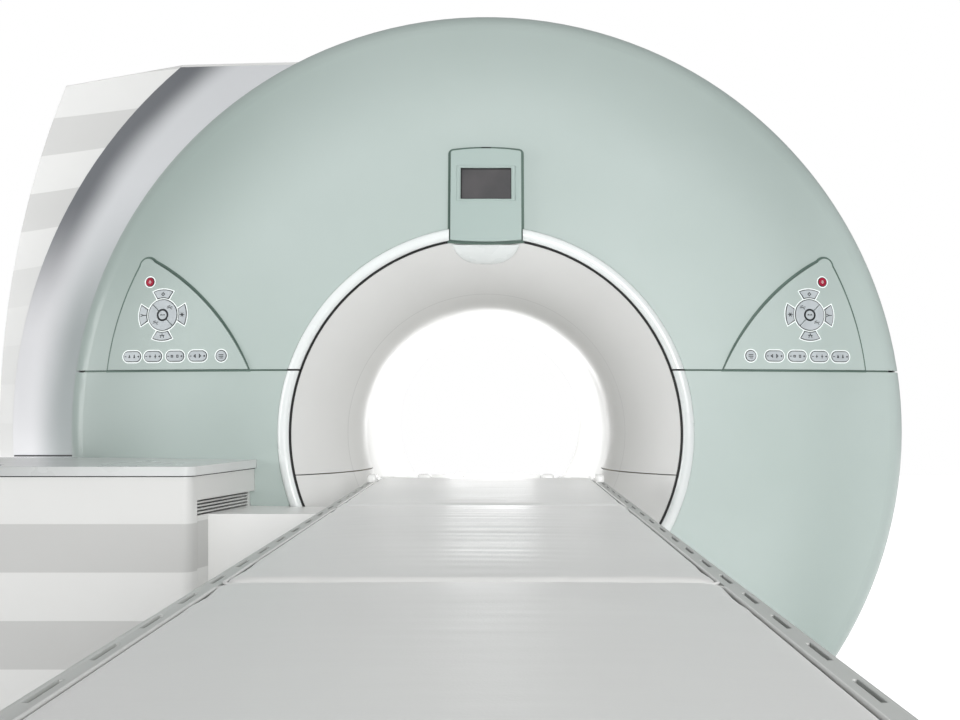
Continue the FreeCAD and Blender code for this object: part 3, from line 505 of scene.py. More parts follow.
# %% Mouth seal
def mouth_seal(name, start, stop, steps):
    """An oval section turned about the bore axis: x = r cos a, z = r sin a, y = mouth + depth."""
    seal_radius, half_wide, half_deep = 0.441, 0.0029, 0.006
    turn = np.radians(np.linspace(start, stop, steps))[:, None]
    section = np.linspace(0, 2 * np.pi, 10, endpoint=False)[None, :]
    r = seal_radius + half_wide * np.cos(section)
    y = mouth + half_deep + half_deep * np.sin(section) + 0 * turn
    points = np.stack([r * np.cos(turn), y, bore_height + r * np.sin(turn)], -1)
    surface(name, points, seal_and_shade_black, "scanner")


split_turn = math.degrees(math.asin(split / mouth_radius))
seal_lap = 0.2
mouth_seal("mouth_seal_upper", split_turn - seal_lap, 180 + seal_lap - split_turn, 120)
mouth_seal("mouth_seal_lower", 180 - seal_lap - split_turn, 360 + seal_lap + split_turn, 180)
print("seal breaks at", round(split_turn, 1), "degrees")

# %% [markdown]
# ## Outlines on the dome
# Keys, panels and the display are flat outlines projected on the dome. Each outline is a closed
# loop of points with a setting that grows it outwards, so a trim between two sizes is one grid:
# four rows of the loop at two sizes and two heights above the dome.


# %% Outlines
def arc_through(a, b, c, count):
    """Points along the circle through three points, from a to c past b, without the last."""
    (ax, az), (bx, bz), (cx, cz) = a, b, c
    d = 2 * (ax * (bz - cz) + bx * (cz - az) + cx * (az - bz))
    sa, sb, sc = ax**2 + az**2, bx**2 + bz**2, cx**2 + cz**2
    centre = np.array([(sa * (bz - cz) + sb * (cz - az) + sc * (az - bz)) / d,
                       (sa * (cx - bx) + sb * (ax - cx) + sc * (bx - ax)) / d])
    ends = np.array([a, b, c]) - centre
    angle = np.unwrap(np.arctan2(ends[:, 1], ends[:, 0]))
    turn = np.linspace(angle[0], angle[2], count, endpoint=False)
    return centre + math.hypot(*ends[0]) * np.stack([np.cos(turn), np.sin(turn)], -1)


def line_between(a, b, count):
    """Points along a straight side, without the last."""
    share = np.linspace(0, 1, count, endpoint=False)[:, None]
    return np.array(a) * (1 - share) + np.array(b) * share


def round_loop(x, z, radius, count=40):
    turn = np.linspace(0, 2 * np.pi, count, endpoint=False)
    return np.stack([x + radius * np.cos(turn), z + radius * np.sin(turn)], -1)


def pill_loop(x, z, grow, count=24):
    """A rocker key's outline: two half circles of radius 11 mm, 20 mm apart."""
    turn = np.linspace(-np.pi / 2, np.pi / 2, count)
    reach, radius = 0.010, 0.011 + grow
    right = np.stack([reach + radius * np.cos(turn), radius * np.sin(turn)], -1)
    return np.array([x, z]) + np.concatenate([right, -right])


def arc_key_loop(x, z, facing, grow, count=14):
    """A key round the dial: from 41 to 58 mm out, 18 degrees each way inside and 23 outside."""
    inner, outer = 0.041 - grow, 0.058 + grow
    half_in = math.radians(18) + grow / inner
    half_out = math.radians(23) + grow / outer
    turn = math.radians(facing)
    out = turn + np.linspace(-half_out, half_out, count)
    back = turn + np.linspace(half_in, -half_in, count)
    ring = np.concatenate([np.stack([outer * np.cos(out), outer * np.sin(out)], -1),
                           np.stack([inner * np.cos(back), inner * np.sin(back)], -1)])
    return np.array([x, z]) + ring


def panel_loop(side, grow):
    """The control panel: a level foot, a bowed outer side, a rounded top and a long bowed side."""
    foot = split + 0.0023 - grow
    foot_length = 0.348

    def at(out, rise, across=0.0, up=0.0):
        """A place out from the inner corner and up from the joint, moved by the growth."""
        return (side * (panel_inner + out + grow * across), split + rise + grow * up)

    corner = (side * (panel_inner - grow), foot)
    outer = (side * (panel_inner + foot_length + grow), foot)
    shoulder = at(0.271, 0.245, 1, 0.4)
    inner_shoulder = at(0.236, 0.254, -0.6, 0.8)
    return np.concatenate([
        line_between(corner, outer, 24),
        arc_through(outer, at(0.318, 0.136, 1, 0), shoulder, 24),
        arc_through(shoulder, at(0.258, 0.262, 0, 1), inner_shoulder, 10),
        arc_through(inner_shoulder, at(0.118, 0.167, -0.7, 0.7), corner, 30),
    ])


def display_loop(grow):
    """The display housing: rounded shoulders, an arched top, a foot along the mouth."""
    half_width, height, round_off, arch = 0.080, 0.174, 0.006, 0.006
    half = half_width + grow
    low = math.sqrt(mouth_radius**2 - half_width**2) - grow
    high = ring_outer + height + grow
    corner = round_off + grow
    shoulder = half - corner
    top = high + arch * (1 - (shoulder / half) ** 2)
    cut = corner * (1 - math.sqrt(0.5))
    return np.concatenate([
        line_between((-half, low), (-half, high - corner), 20),
        arc_through((-half, high - corner), (-half + cut, top - cut), (-shoulder, top), 6),
        arc_through((-shoulder, top), (0, high + arch), (shoulder, top), 20),
        arc_through((shoulder, top), (half - cut, top - cut), (half, high - corner), 6),
        line_between((half, high - corner), (half, low), 20),
        arc_through((half, low), (0, low - 0.004), (-half, low), 20),
    ])


def merged(name, parts, finish, body):
    """One mesh from several (points, quads) pairs."""
    counts = np.cumsum([0] + [len(p) for p, _ in parts])
    points = np.concatenate([p for p, _ in parts])
    quads = np.concatenate([q + start for (_, q), start in zip(parts, counts)])
    mesh = bpy.data.meshes.new(name)
    mesh.from_pydata(points, [], quads.tolist())
    return crease(piece(name, mesh, finish, body))


def rim_part(loop, inner, outer, low, high):
    """Points and faces of four rows of a closed loop over the dome, joined round both ways."""
    rows = [(inner, low), (inner, high), (outer, high), (outer, low)]
    points = np.stack([on_dome(*loop(grow).T, lift) for grow, lift in rows])
    index = np.arange(points.shape[0] * points.shape[1]).reshape(points.shape[:2])
    right, below = np.roll(index, -1, 1), np.roll(index, -1, 0)
    quads = np.stack([index, right, np.roll(right, -1, 0), below], -1).reshape(-1, 4)
    return points.reshape(-1, 3), quads


def trim(name, loop, inner, outer, low, high, finish):
    """A flat trim between an outline grown by inner and by outer, from low to high over the dome."""
    return merged(name, [rim_part(loop, inner, outer, low, high)], finish, "scanner")


# %% [markdown]
# ## Painted shade round the panels and the display
# The dark green line round each panel and the display is painted shade, a strip lying in the joint.

# %% Painted groove shade
panel_proud = 0.006
joint_half = 0.0017
box_side = np.array([-1, 1, 1, -1])[None, :]  # which side of a strip each corner of its box is on


def panel_shade_loop(side, grow):
    """The panel's loop, whose growth is larger along its long bowed side, where the painted shade is
    widest.
    """
    inner, outer = panel_loop(side, 1.7 * grow), panel_loop(side, 2.2 * grow)
    place, long_start = np.arange(len(inner)), 52
    long_side = (np.clip((place - long_start) / 8, 0, 1)
                 * np.clip((len(inner) - place) / 6, 0, 1))
    return inner + (outer - inner) * long_side[:, None]


for side, hand in ((-1, "left"), (1, "right")):
    trim(f"panel_groove_shade_{hand}", lambda grow: panel_shade_loop(side, grow), 0.0002, 0.0031,
         -0.004, 0.0005, groove_shade_green)
trim("display_groove_shade", display_loop, 0.0002, 0.0062, 0.0002, 0.0012, groove_shade_green)


def level_strip(name, x0, x1, z, half, lifts, finish, count=60):
    """A level strip over the dome: x along it, and a box section from lifts[0] to lifts[1]."""
    x = np.linspace(x0, x1, count)[:, None]
    levels = np.array([lifts[0], lifts[0], lifts[1], lifts[1]])[None, :]
    points = on_dome(x, z + half * box_side, levels)
    return crease(surface(name, points, finish, "scanner"))


# A short dark strip in the middle of the groove over the display is painted shade of a small notch
# there.
level_strip("display_notch_shade", -0.011, 0.011, display_loop(0.0032)[:, 1].max(), 0.0022,
            (-0.004, 0.0018), seal_and_shade_black, 8)

for side, hand in ((-1, "left"), (1, "right")):
    ring_start = math.sqrt(mouth_radius**2 - split**2)
    ring_stop = math.sqrt(ring_outer**2 - split**2)
    level_strip(f"ring_joint_{hand}", side * ring_start, side * ring_stop, split, joint_half,
                (-0.005, 0.001), seal_and_shade_black)
    # The joints between the green covers hold a dark green strip of painted shade.
    level_strip(f"cover_joint_{hand}", side * (ring_stop + 0.002), side * 0.95, split, joint_half,
                (-0.0072, -0.0012), groove_shade_green)

# %% [markdown]
# ## Light guides, collars and icons of the keys
# Every key sits in a dark rim, its real gap widened with painted shade, with a white lit guide
# round it. The guides of one panel are one piece. Icons are thin printed strokes that ride on
# their own key, so that they move with it.


# %% Strokes
def stroke_part(a, b, width, lift):
    """A printed stroke: a thin box from a to b that lies on the dome."""
    a, b = np.array(a), np.array(b)
    along = (b - a) / max(np.linalg.norm(b - a), 1e-9)
    across = np.array([-along[1], along[0]]) * width / 2
    reach = along * width / 2
    flat = np.array([a - reach - across, b + reach - across, b + reach + across, a - reach + across])
    points = np.concatenate([on_dome(*flat.T, lift - 0.0001), on_dome(*flat.T, lift + 0.0002)])
    quads = np.array([[0, 3, 2, 1], [4, 5, 6, 7], [0, 1, 5, 4], [1, 2, 6, 5], [2, 3, 7, 6],
                      [3, 0, 4, 7]])
    return points, quads


# %% Key places and icons
dial_out, dial_rise = panel_inner + 0.2095, split + 0.129
row_rise = split + 0.033
guide_low, guide_high = panel_proud - 0.0004, panel_proud + 0.0007
key_top = panel_proud + 0.0025
key_gap = 0.0002
rocker_gap = 0.0009  # wider, so that a tilting rocker stays clear


def key_loops(side):
    """The outline of each key of one panel, as a function of how far it is grown."""
    x, z = side * dial_out, dial_rise
    out = 0 if side > 0 else 180
    loops = {
        "stop": lambda g: round_loop(side * (panel_inner + 0.244), split + 0.207, 0.0095 + g),
        "dial": lambda g: round_loop(x, z, 0.035 + g, 64),
        "round": lambda g: round_loop(side * (panel_inner + 0.064), row_rise, 0.0115 + g),
    }
    for name, facing in (("up", 90), ("down", 270), ("outer", out), ("inner", 180 - out)):
        loops[name] = lambda g, facing=facing: arc_key_loop(x, z, facing, g)
    for i, place in enumerate((0.2845, 0.2315, 0.1765, 0.121)):
        loops[f"rocker_{i + 1}"] = lambda g, p=place: pill_loop(side * (panel_inner + p), row_rise, g)
    return loops


def drawn(text):
    """Strokes in mm about a key's middle: points x,z joined in turn, with | between lines."""
    lines = [[tuple(map(float, place.split(","))) for place in line.split()]
             for line in text.split("|")]
    return [pair for line in lines for pair in zip(line, line[1:])]


def signs(figure):
    """A rocker's print: minus, two small figures and plus."""
    small = drawn(figure)
    bigger = [((-a[0] * 0.9, a[1] * 1.25), (-b[0] * 0.9, b[1] * 1.25)) for a, b in small]
    return drawn("-18,0 -15,0") + small + bigger + drawn("15,0 18,0|16.5,-1.5 16.5,1.5")


couch = drawn("-5,-1 5,1|-4,2 0,3|2,-2 4,-3")
icons = {
    "stop_key": drawn("-3,0 3,0|-1.5,2.5 1.5,2.5|-1.5,-2.5 1.5,-2.5"),
    "up_key": drawn("-3,0 0,3 3,0 0,-3 -3,0"),
    "down_key": drawn("-4,1 4,1|-2,1 -3,-3|2,1 3,-3|0,4 0,2"),
    "outer_key": drawn("-5,2 0,0 -5,-2|0,0 5,0"),
    "inner_key": drawn("-4,0 4,0|-2,-3 2,3|-2,3 2,-3"),
    "dial_upper_key": couch, "dial_lower_key": couch,
    "centre_key": drawn("-4,0 4,0|-4,0 -3,1|4,0 3,1"),
    "round_key": drawn("-4,2 4,2|-4,-1 4,-1|-2,-4 3,-4"),
    "rocker_1": signs("-8,-2 -5,-2|-8,-2 -6.5,3|-5,-2 -6.5,3"),
    "rocker_2": signs("-9,0 -5,0|-7,-3 -7,3"),
    "rocker_3": signs("-9,-2 -5,-2 -5,2 -9,2 -9,-2"),
    "rocker_4": signs("-9,0 -5,3 -5,-3 -9,0"),
}


def key_middle(node, side):
    """Where an icon goes: the middle of its key's box, or the middle of a dial half's ring."""
    low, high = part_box(node)
    x, z = (low.x + high.x) / 2, (low.z + high.z) / 2 - bore_height
    if "dial" in node:
        dial, half_ring = np.array([side * dial_out, dial_rise]), 0.0245
        away = np.array([x, z]) - dial
        return dial + away / np.linalg.norm(away) * half_ring
    return np.array([x, z])


for side, hand in ((-1, "left"), (1, "right")):
    loops = key_loops(side)
    guides = [rim_part(loop, 0.0019, 0.0044, guide_low, guide_high) for loop in loops.values()]
    merged(f"key_guides_{hand}", guides, guide_white, "scanner")
    # Dark rims round the keys: the real gap, widened with painted shade.
    gaps = [rim_part(loop, rocker_gap if "rocker" in key else key_gap, 0.0018, guide_low,
                     panel_proud + 0.0009) for key, loop in loops.items()]
    merged(f"key_gap_shades_{hand}", gaps, collar_and_gap_shade, "scanner")
    trim(f"dial_collar_{hand}", lambda g: round_loop(side * dial_out, dial_rise, g, 48), 0.0104,
         0.0140, panel_proud - 0.001, key_top, collar_and_gap_shade)
    for key, strokes in icons.items():
        node = f"{hand}_{key}"
        middle = key_middle(node, side)
        stop = key == "stop_key"
        size = 0.001 if stop or "rocker" in key else 0.00125
        parts = [stroke_part(middle + size * np.array(a), middle + size * np.array(b),
                             0.0008 if stop else 0.0017, key_top) for a, b in strokes]
        merged(f"{node}_icon", parts, guide_white if stop else print_dark, node)
print("keys dressed:", 2 * len(icons))

# %% [markdown]
# ## The display's window
# The glass sits in a shallow window. A black band, wider at its top and left, is painted shadow
# of the window's recess, and a soft raised frame in the cover's colour carries it. Frame and band
# are trims between two rounded rectangles that are not centred on each other.


# %% Window frame and painted shadow band
def window_loop(left, right, low, high, corner, count=8):
    """A rectangle with round corners: four quarter circles joined by straight sides."""
    turn = np.linspace(0, np.pi / 2, count)
    west, east, south, north = left + corner, right - corner, low + corner, high - corner
    corners = ((east, north, 0), (west, north, 1), (west, south, 2), (east, south, 3))
    return np.concatenate([np.stack([x + corner * np.cos(turn + k * np.pi / 2),
                                     z + corner * np.sin(turn + k * np.pi / 2)], -1)
                           for x, z, k in corners])


screen_low, screen_high, screen_half = ring_outer + 0.061, ring_outer + 0.133, 0.057
display_proud = 0.014


def window_piece(name, outlines, rises, finish):
    """Window outlines, each at its own rise over the display's face, closed into one trim."""
    points = np.stack([on_dome(*loop.T, display_proud + rise) for loop, rise in zip(outlines, rises)])
    return surface(name, points, finish, "scanner", along=True)


def grown_window(left, right, low, high, corner=0.0006):
    return window_loop(-screen_half - left, screen_half + right, screen_low - low,
                       screen_high + high, corner)


opening = grown_window(-0.0026, -0.0008, -0.0010, -0.0032)
frame_line = grown_window(0.0002, 0.0002, 0.0002, 0.0002)
# Black band round the glass, wider at top and left: painted shadow of the recess.
crease(window_piece("screen_recess_shadow", [opening, opening, frame_line, frame_line],
                    [-0.003, 0.0004, 0.0004, -0.003], seal_and_shade_black))
frame_in = grown_window(0.0003, 0.0003, 0.0003, 0.0003)
frame_mid = grown_window(0.006, 0.006, 0.003, 0.0035, 0.002)
frame_out = grown_window(0.0125, 0.0125, 0.0055, 0.0065, 0.003)
window_piece("screen_frame", [frame_in, frame_in, frame_mid, frame_out],
             [-0.002, 0.0006, 0.0022, -0.001], display_sage)
print("screen", round(2 * screen_half, 3), "wide")

# %% [markdown]
# ## The laser window's hood
# Under the display the funnel carries a small smooth hood over the positioning laser, like half
# a bowl. It starts flush with the mouth and dies into the bell 50 mm in.


# %% Hood
def hood(reach=0.050, half_width=0.078, swell=0.009):
    """Points on the bell pushed in by swell * (1 - s^4)^0.5 * (1 - t^3): s across, t inwards."""
    t = np.linspace(0, 1, 40)[:, None]
    s = np.linspace(-1, 1, 61)[None, :]
    depth = 0.003 + reach * t + 0 * s
    width = half_width * np.sqrt(np.clip(1 - t**2, 0, 1)) * s
    push = swell * np.sqrt(1 - s**4) * (1 - t**3) - 0.0004
    radius = bell_radius(depth) - push
    turn = width / mouth_radius
    return np.stack([radius * np.sin(turn), mouth + depth, bore_height + radius * np.cos(turn)], -1)


laser_hood = surface("laser_hood", hood(), trim_white, "scanner", around=False)
shell = laser_hood.modifiers.new("wall", "SOLIDIFY")
shell.thickness = 0.0015
shell.offset = 1.0

# %% [markdown]
# ## Painted shade lines of the cabinet and the flare
# A thin dark line of painted shade runs under the cabinet's lid, and another where the silver
# flare meets the lid's level. Each is a black strip with a box section carried along a path.


# %% Strips along a path
def strip(name, path, half, height):
    """A black box section along a path of (x, y, z): half to each side, height upwards."""
    along = np.gradient(path[:, :2], axis=0)
    along /= np.linalg.norm(along, axis=1, keepdims=True)
    side = np.stack([-along[:, 1], along[:, 0], np.zeros(len(path))], -1) * half
    up = np.array([0, 0, height])
    points = np.stack([path - side, path + side, path + side + up, path - side + up], 1)
    return crease(surface(name, points, seal_and_shade_black, "scanner"))


cabinet_low, cabinet_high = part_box("side_cabinet")
lid_under, front_y = cabinet_high.z, cabinet_low.y
front_left, front_right, corner_radius = -1.3295, -0.594, 0.022
lean = math.atan(0.091 / 0.392)  # the cabinet's right side narrows towards the back
side_length = 0.352
round_start = (front_right - corner_radius * math.tan((math.pi / 2 - lean) / 2), front_y)
turn = np.linspace(-math.pi / 2, -lean, 10)
corner = np.stack([round_start[0] + corner_radius * np.cos(turn),
                   front_y + corner_radius + corner_radius * np.sin(turn)], -1)
side_end = corner[-1] + side_length * np.array([math.sin(lean), math.cos(lean)])
plan = np.concatenate([line_between((front_left, front_y), round_start, 20), corner[:-1],
                       line_between(corner[-1], side_end, 20)])
lid_path = np.column_stack([plan, np.full(len(plan), lid_under - 0.0022)])
# Painted shade: a black line under the lid.
strip("lid_shade_line", lid_path, 0.0007, 0.0021)

# The flare widens from radius 1.0 at its front by 0.257 over 0.2725 of depth.
share = np.linspace(0.02, 0.98, 30)
flare_r = 1.0 + 0.257 * share
flare_y = mouth + 0.2075 + 0.2725 * share
fall = 0.058 + 0.0464 * (flare_y - mouth - 0.18)
flare_x = -np.sqrt(flare_r**2 - fall**2) - 0.0006
flare_path = np.column_stack([flare_x, flare_y - 0.0008, bore_height - fall])
# Painted shade: a black line where the flare meets the lid's level.
strip("flare_shade_line", flare_path, 0.0009, 0.0036)
print("lid underside at", round(lid_under, 3))

# %% [markdown]
# ## The tabletop's clips
# Four white clips at the head end hold coil cables, and a thin bar joins each outer pair. A clip
# is a rounded block, a superellipsoid that fills its box.


# %% Clips
tray_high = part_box("tabletop")[1]
head_y = tray_high.y


def soft_block(low, high, power=4.0, rows=16, cols=32):
    """A superellipsoid that fills a box: |x|^p + |y|^p + |z|^p = 1, scaled to its sides."""
    low, high = np.array(low), np.array(high)
    u = np.linspace(-np.pi / 2, np.pi / 2, rows)[:, None]
    v = np.linspace(0, 2 * np.pi, cols, endpoint=False)[None, :]

    def bent(wave):
        return np.sign(wave) * np.abs(wave) ** (2 / power)

    unit = np.stack(np.broadcast_arrays(bent(np.cos(u)) * bent(np.cos(v)),
                                        bent(np.cos(u)) * bent(np.sin(v)), bent(np.sin(u))), -1)
    return (low + high) / 2 + unit * (high - low) / 2


def clip(name, low, high):
    return surface(name, soft_block(low, high), clip_white, "couch_top", weld=1e-5, cap=False)


clip_top = tray_high.z + 0.0008
for i, (x, half, length) in enumerate(((-0.252, 0.011, 0.040), (-0.137, 0.016, 0.020),
                                       (0.137, 0.016, 0.020), (0.252, 0.011, 0.040))):
    clip(f"table_clip_{i + 1}", (x - half, head_y - length, clip_top - 0.026),
         (x + half, head_y + 0.0006, clip_top + 0.0012))
for hand, x0, x1 in (("left", -0.236, -0.160), ("right", 0.160, 0.236)):
    clip(f"clip_bar_{hand}", (x0, head_y - 0.010, clip_top - 0.010),
         (x1, head_y - 0.004, clip_top - 0.004))
print("clips at y", round(head_y, 3))

# %% [markdown]
# ## The three cushions
# Each cushion is a foam slab in vinyl. It is highest along its middle, its corners are round, and
# it is flat underneath where it lies in the tray. The form is a height over a grid whose lines
# crowd towards the edges, top and bottom joined at the rim. Cloth blown up gently from inside
# then tightens the skin, and a welt is laid round the top edge.


# %% Cushion form
def crowded(half, width, middle):
    """Places across a side, close together inside the rounded edges: w (1 - cos), then even."""
    edge = half - width * (1 - np.cos(np.linspace(0, np.pi / 2, 9)))
    inner = np.linspace(half - width, -(half - width), middle)[1:-1]
    return np.concatenate([-edge, inner[::-1], edge[::-1]])


def cushion_grid(low, high, gap, crown, width=0.009, corner=0.020):
    """Top height = thickness * e(x) e(y) + crown; e(d) = (1 - (1 - d/w)^2.5)^0.4 near an edge."""
    low, high = np.array(low), np.array(high)
    middle, half = (low + high) / 2, (high - low) / 2 - [gap, gap, 0]
    y, x = np.meshgrid(crowded(half[1], width, 90), crowded(half[0], width, 60), indexing="ij")

    def edge(place, reach):
        inside = np.clip((reach - np.abs(place)) / width, 0, 1)
        return (1 - (1 - inside) ** 2.5) ** 0.4

    swell = crown * (1 - (x / half[0]) ** 2) * (1 - (y / half[1]) ** 4)
    z = low[2] + (high[2] - low[2]) * edge(x, half[0]) * edge(y, half[1]) + swell
    u = np.maximum(np.abs(x) - half[0] + corner, 0)
    v = np.maximum(np.abs(y) - half[1] + corner, 0)
    pull = 1 - np.maximum(u, v) / np.maximum(np.hypot(u, v), 1e-9)
    pull *= (u > 0) & (v > 0)
    x, y = x - np.sign(x) * u * pull, y - np.sign(y) * v * pull
    top = np.stack([middle[0] + x, middle[1] + y, z], -1)
    return top, np.concatenate([top[..., :2], np.full(z.shape + (1,), low[2])], -1)


def cushion_mesh(name, low, high, **shape):
    """Top and bottom grids as one closed mesh, joined where they meet at the rim."""
    top, bottom = cushion_grid(low, high, **shape)
    rows, cols = top.shape[:2]
    index = np.arange(rows * cols).reshape(rows, cols)
    quads = np.stack([index[:-1, :-1], index[:-1, 1:], index[1:, 1:], index[1:, :-1]], -1)
    quads = quads.reshape(-1, 4)
    points = np.concatenate([top.reshape(-1, 3), bottom.reshape(-1, 3)])
    mesh = bpy.data.meshes.new(name)
    mesh.from_pydata(points, [], np.concatenate([quads, quads[:, ::-1] + rows * cols]).tolist())
    return piece(name, mesh, cushion_vinyl, "couch_top", weld=1e-4)


# %% [markdown]
# Blender's cloth works on even faces, so the form is remeshed first. The blown-up skin may not
# move further than a few millimetres, and it stays inside the tray: those limits are plain
# arithmetic on the points afterwards.


# %% Tighten the skin
crown_room = 0.007


def tightened(made, low, high, pressure=3.0, voxel=0.0062, cap=0.003, frames=12):
    """Remesh, run cloth with pressure, limit how far each point went, keep it in its box."""
    remesh = made.modifiers.new("even", "REMESH")
    remesh.mode = "VOXEL"
    remesh.voxel_size = voxel
    apply_modifiers(made)
    start = read_points(made)
    cloth = made.modifiers.new("cloth", "CLOTH").settings
    cloth.quality, cloth.use_pressure, cloth.uniform_pressure_force = 4, True, pressure
    cloth.effector_weights.gravity = 0.0
    cloth.tension_stiffness, cloth.bending_stiffness = 12.0, 0.6
    scene = bpy.context.scene
    for step in range(1, frames + 1):
        scene.frame_set(step)
    apply_modifiers(made)
    scene.frame_set(1)
    move = read_points(made) - start
    length = np.linalg.norm(move, axis=1, keepdims=True)
    move *= np.minimum(1.0, cap / np.maximum(length, 1e-9))
    inset = np.array([0.0005, 0.0005, 0.0002])
    points = np.clip(start + move, np.array(low) + inset,
                     np.array(high) - inset + [0, 0, crown_room])
    write_points(made, points)
    print(made.name, "points", len(points), "moved up to", round(float(length.max()), 4))


def apply_modifiers(made):
    """Replace the mesh by what its modifiers make of it, and remove them."""
    graph = bpy.context.evaluated_depsgraph_get()
    graph.update()
    fresh = bpy.data.meshes.new_from_object(made.evaluated_get(graph))
    made.modifiers.clear()
    made.data = fresh


def read_points(made):
    flat = np.empty(len(made.data.vertices) * 3, np.float32)
    made.data.vertices.foreach_get("co", flat)
    return flat.reshape(-1, 3).astype(float)


def write_points(made, points):
    made.data.vertices.foreach_set("co", points.astype(np.float32).ravel())
    made.data.update()


def wrinkled(made, low, high, seed, depth):
    """Push the top skin along Z by long low waves that fade towards the rim."""
    dice = np.random.default_rng(seed)
    points = read_points(made)
    centre = (np.array(low) + np.array(high)) / 2
    half = (np.array(high) - np.array(low)) / 2
    u, v = ((points - centre) / half)[:, :2].T
    rise = np.zeros(len(points))
    for waves in dice.uniform([30, 0.4, 0, 0.3], [80, 2.4, 6.28, 1.0], (9, 4)):
        bow = waves[1] * u**2 + 0.6 * np.sin(2.1 * u + waves[2])
        rise += waves[3] * np.sin(waves[0] * v + bow * 2.0 + waves[2])
    fade = np.clip(1 - u**2, 0, 1) * np.clip(1 - v**8, 0, 1) * (points[:, 2] > centre[2])
    points[:, 2] += depth * rise / 3 * fade
    made.data.shade_smooth()
    write_points(made, points)


# %% Welt round a cushion
def welt(name, low, high, radius=0.0017, inset=0.0042, corner=0.017):
    """A round cord of vinyl along the top edge: a circle carried round a rounded rectangle."""
    left, right = low[0] + inset, high[0] - inset
    near, far = low[1] + inset, high[1] - inset
    plan = window_loop(left, right, near, far, corner, 10)
    ahead = np.roll(plan, -1, 0) - np.roll(plan, 1, 0)
    ahead /= np.linalg.norm(ahead, axis=1, keepdims=True)
    outward = np.stack([ahead[:, 1], -ahead[:, 0]], -1)
    turn = np.linspace(0, 2 * np.pi, 10, endpoint=False)
    xy = plan[:, None, :] + outward[:, None, :] * (radius * np.cos(turn))[None, :, None]
    z = high[2] - 0.0030 + radius * np.sin(turn)[None, :] + 0 * xy[..., 0]
    return surface(name, np.concatenate([xy, z[..., None]], -1), piping_vinyl, "couch_top",
                   along=True)


for seed, name, depth in ((11, "head", 0.00035), (12, "middle", 0.0003), (13, "foot", 0.0001)):
    low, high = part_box(f"cushion_{name}")
    pad = cushion_mesh(f"pad_{name}", low, high, gap=0.0008, crown=0.005)
    tightened(pad, low, high)
    wrinkled(pad, low, high, seed, depth)
    smoother = pad.modifiers.new("smooth", "SUBSURF")
    smoother.levels = smoother.render_levels = 1
    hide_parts(f"cushion_{name}")
    welt(f"welt_{name}", low, high)

# %% [markdown]
# ## Studio
# The floor is pale and plain. A large soft light hangs overhead, one stands in front on the right,
# one at the left, and a small one at the bore's far end. The sky is white, and dimmer as a light
# than it looks, so that the covers keep their modelling.


# %% Floor
def floor_finish():
    """Pale matt floor that brightens into the backdrop behind the scanner."""
    f = Finish("pale_floor")
    f.set(Base_Color=f.mix(f.spread(f.noise(0.8, 3.0), 0.0, 1.0), "ffffff", "fafafa"))
    f.rough(0.6, 0.7, 2.0)
    behind = f.smooth(f.axis("Y"), -0.7, 0.5)
    strength = f.math("ADD", 0.15, f.math("MULTIPLY", behind, 0.7))
    f.set(Emission_Color=white, Emission_Strength=strength)
    return f.material


reach = 14.0
corners = [(-reach, -reach, 0), (reach, -reach, 0), (reach, reach, 0), (-reach, reach, 0)]
floor_mesh = bpy.data.meshes.new("floor")
floor_mesh.from_pydata(corners, [], [(0, 1, 2, 3)])
floor = bpy.data.objects.new("floor", floor_mesh)
floor_mesh.materials.append(floor_finish())
bpy.context.scene.collection.objects.link(floor)


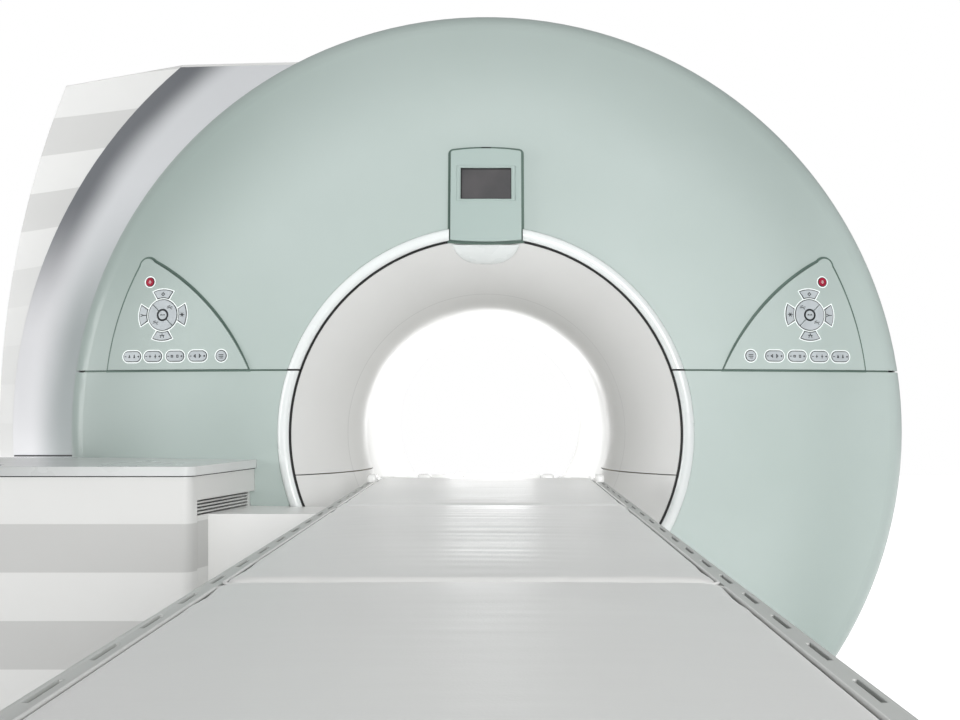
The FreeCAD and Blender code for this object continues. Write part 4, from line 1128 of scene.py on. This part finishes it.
# %% Lights
def soft_light(name, place, target, width, height, power):
    """A rectangular softbox at a place, facing a target."""
    data = bpy.data.lights.new(name, "AREA")
    data.shape, data.size, data.size_y, data.energy = "RECTANGLE", width, height, power
    lamp = bpy.data.objects.new(name, data)
    lamp.location = place
    way = np.array(target, float) - np.array(place, float)
    lamp.rotation_euler = (math.atan2(math.hypot(way[0], way[1]), -way[2]), 0,
                           math.atan2(way[0], -way[1]) + math.pi)
    lamp.visible_camera = False
    bpy.context.scene.collection.objects.link(lamp)


soft_light("front_right", (1.2, -5.1, 1.75), (0.1, -0.8, 1.2), 2.0, 1.2, 108)
soft_light("overhead", (0.5, -2.2, 5.0), (0.1, -1.0, 1.0), 4.0, 3.0, 30)
soft_light("left_side", (-5.2, -2.2, 1.4), (-1.0, 0.0, 1.0), 2.0, 2.6, 98)
soft_light("bore_end", (0, 0.78, bore_height + 0.02), (0, -0.8, bore_height), 0.3, 0.3, 1.6)

# %% Sky
world = bpy.data.worlds.new("studio")
bpy.context.scene.world = world
world.use_nodes = True
sky = world.node_tree
seen, lit = sky.nodes["Background"], sky.nodes.new("ShaderNodeBackground")
for light, tint, strength in ((seen, white, 1.0), (lit, (0.97, 0.985, 1.0, 1.0), 0.37)):
    light.inputs["Color"].default_value = tint
    light.inputs["Strength"].default_value = strength
rays = sky.nodes.new("ShaderNodeLightPath")
either = sky.nodes.new("ShaderNodeMixShader")
for i, source in enumerate((rays.outputs["Is Camera Ray"], lit.outputs[0], seen.outputs[0])):
    sky.links.new(source, either.inputs[i])
sky.links.new(either.outputs[0], sky.nodes["World Output"].inputs["Surface"])
bpy.context.scene.view_settings.view_transform = "Standard"

# %% [markdown]
# ## Camera
# The camera stands level at the foot of the table, a little above the bore's axis, and looks
# straight along it. Its lens follows from the covers' size in the frame, which is 960 wide.

# %% Camera
focal_length, frame_width = 1208.0, 960.0
view = bpy.data.cameras.new("camera")
view.sensor_width = 36.0
view.lens = focal_length / frame_width * view.sensor_width
view.shift_x, view.shift_y = -17.0 / frame_width, 41.0 / frame_width
view.clip_start, view.clip_end = 0.05, 60.0
camera = bpy.data.objects.new("camera", view)
camera.location = (0.025, mouth - 2.719, bore_height + 0.075)
camera.rotation_euler = (math.pi / 2, 0, 0)
bpy.context.scene.collection.objects.link(camera)
bpy.context.scene.camera = camera
print("lens", round(view.lens, 1), "mm")

# %% [markdown]
# ## Finish
# The view layer is brought up to date. The new pieces must not change the scanner's
# size.

# %% Finish
bpy.context.view_layer.update()
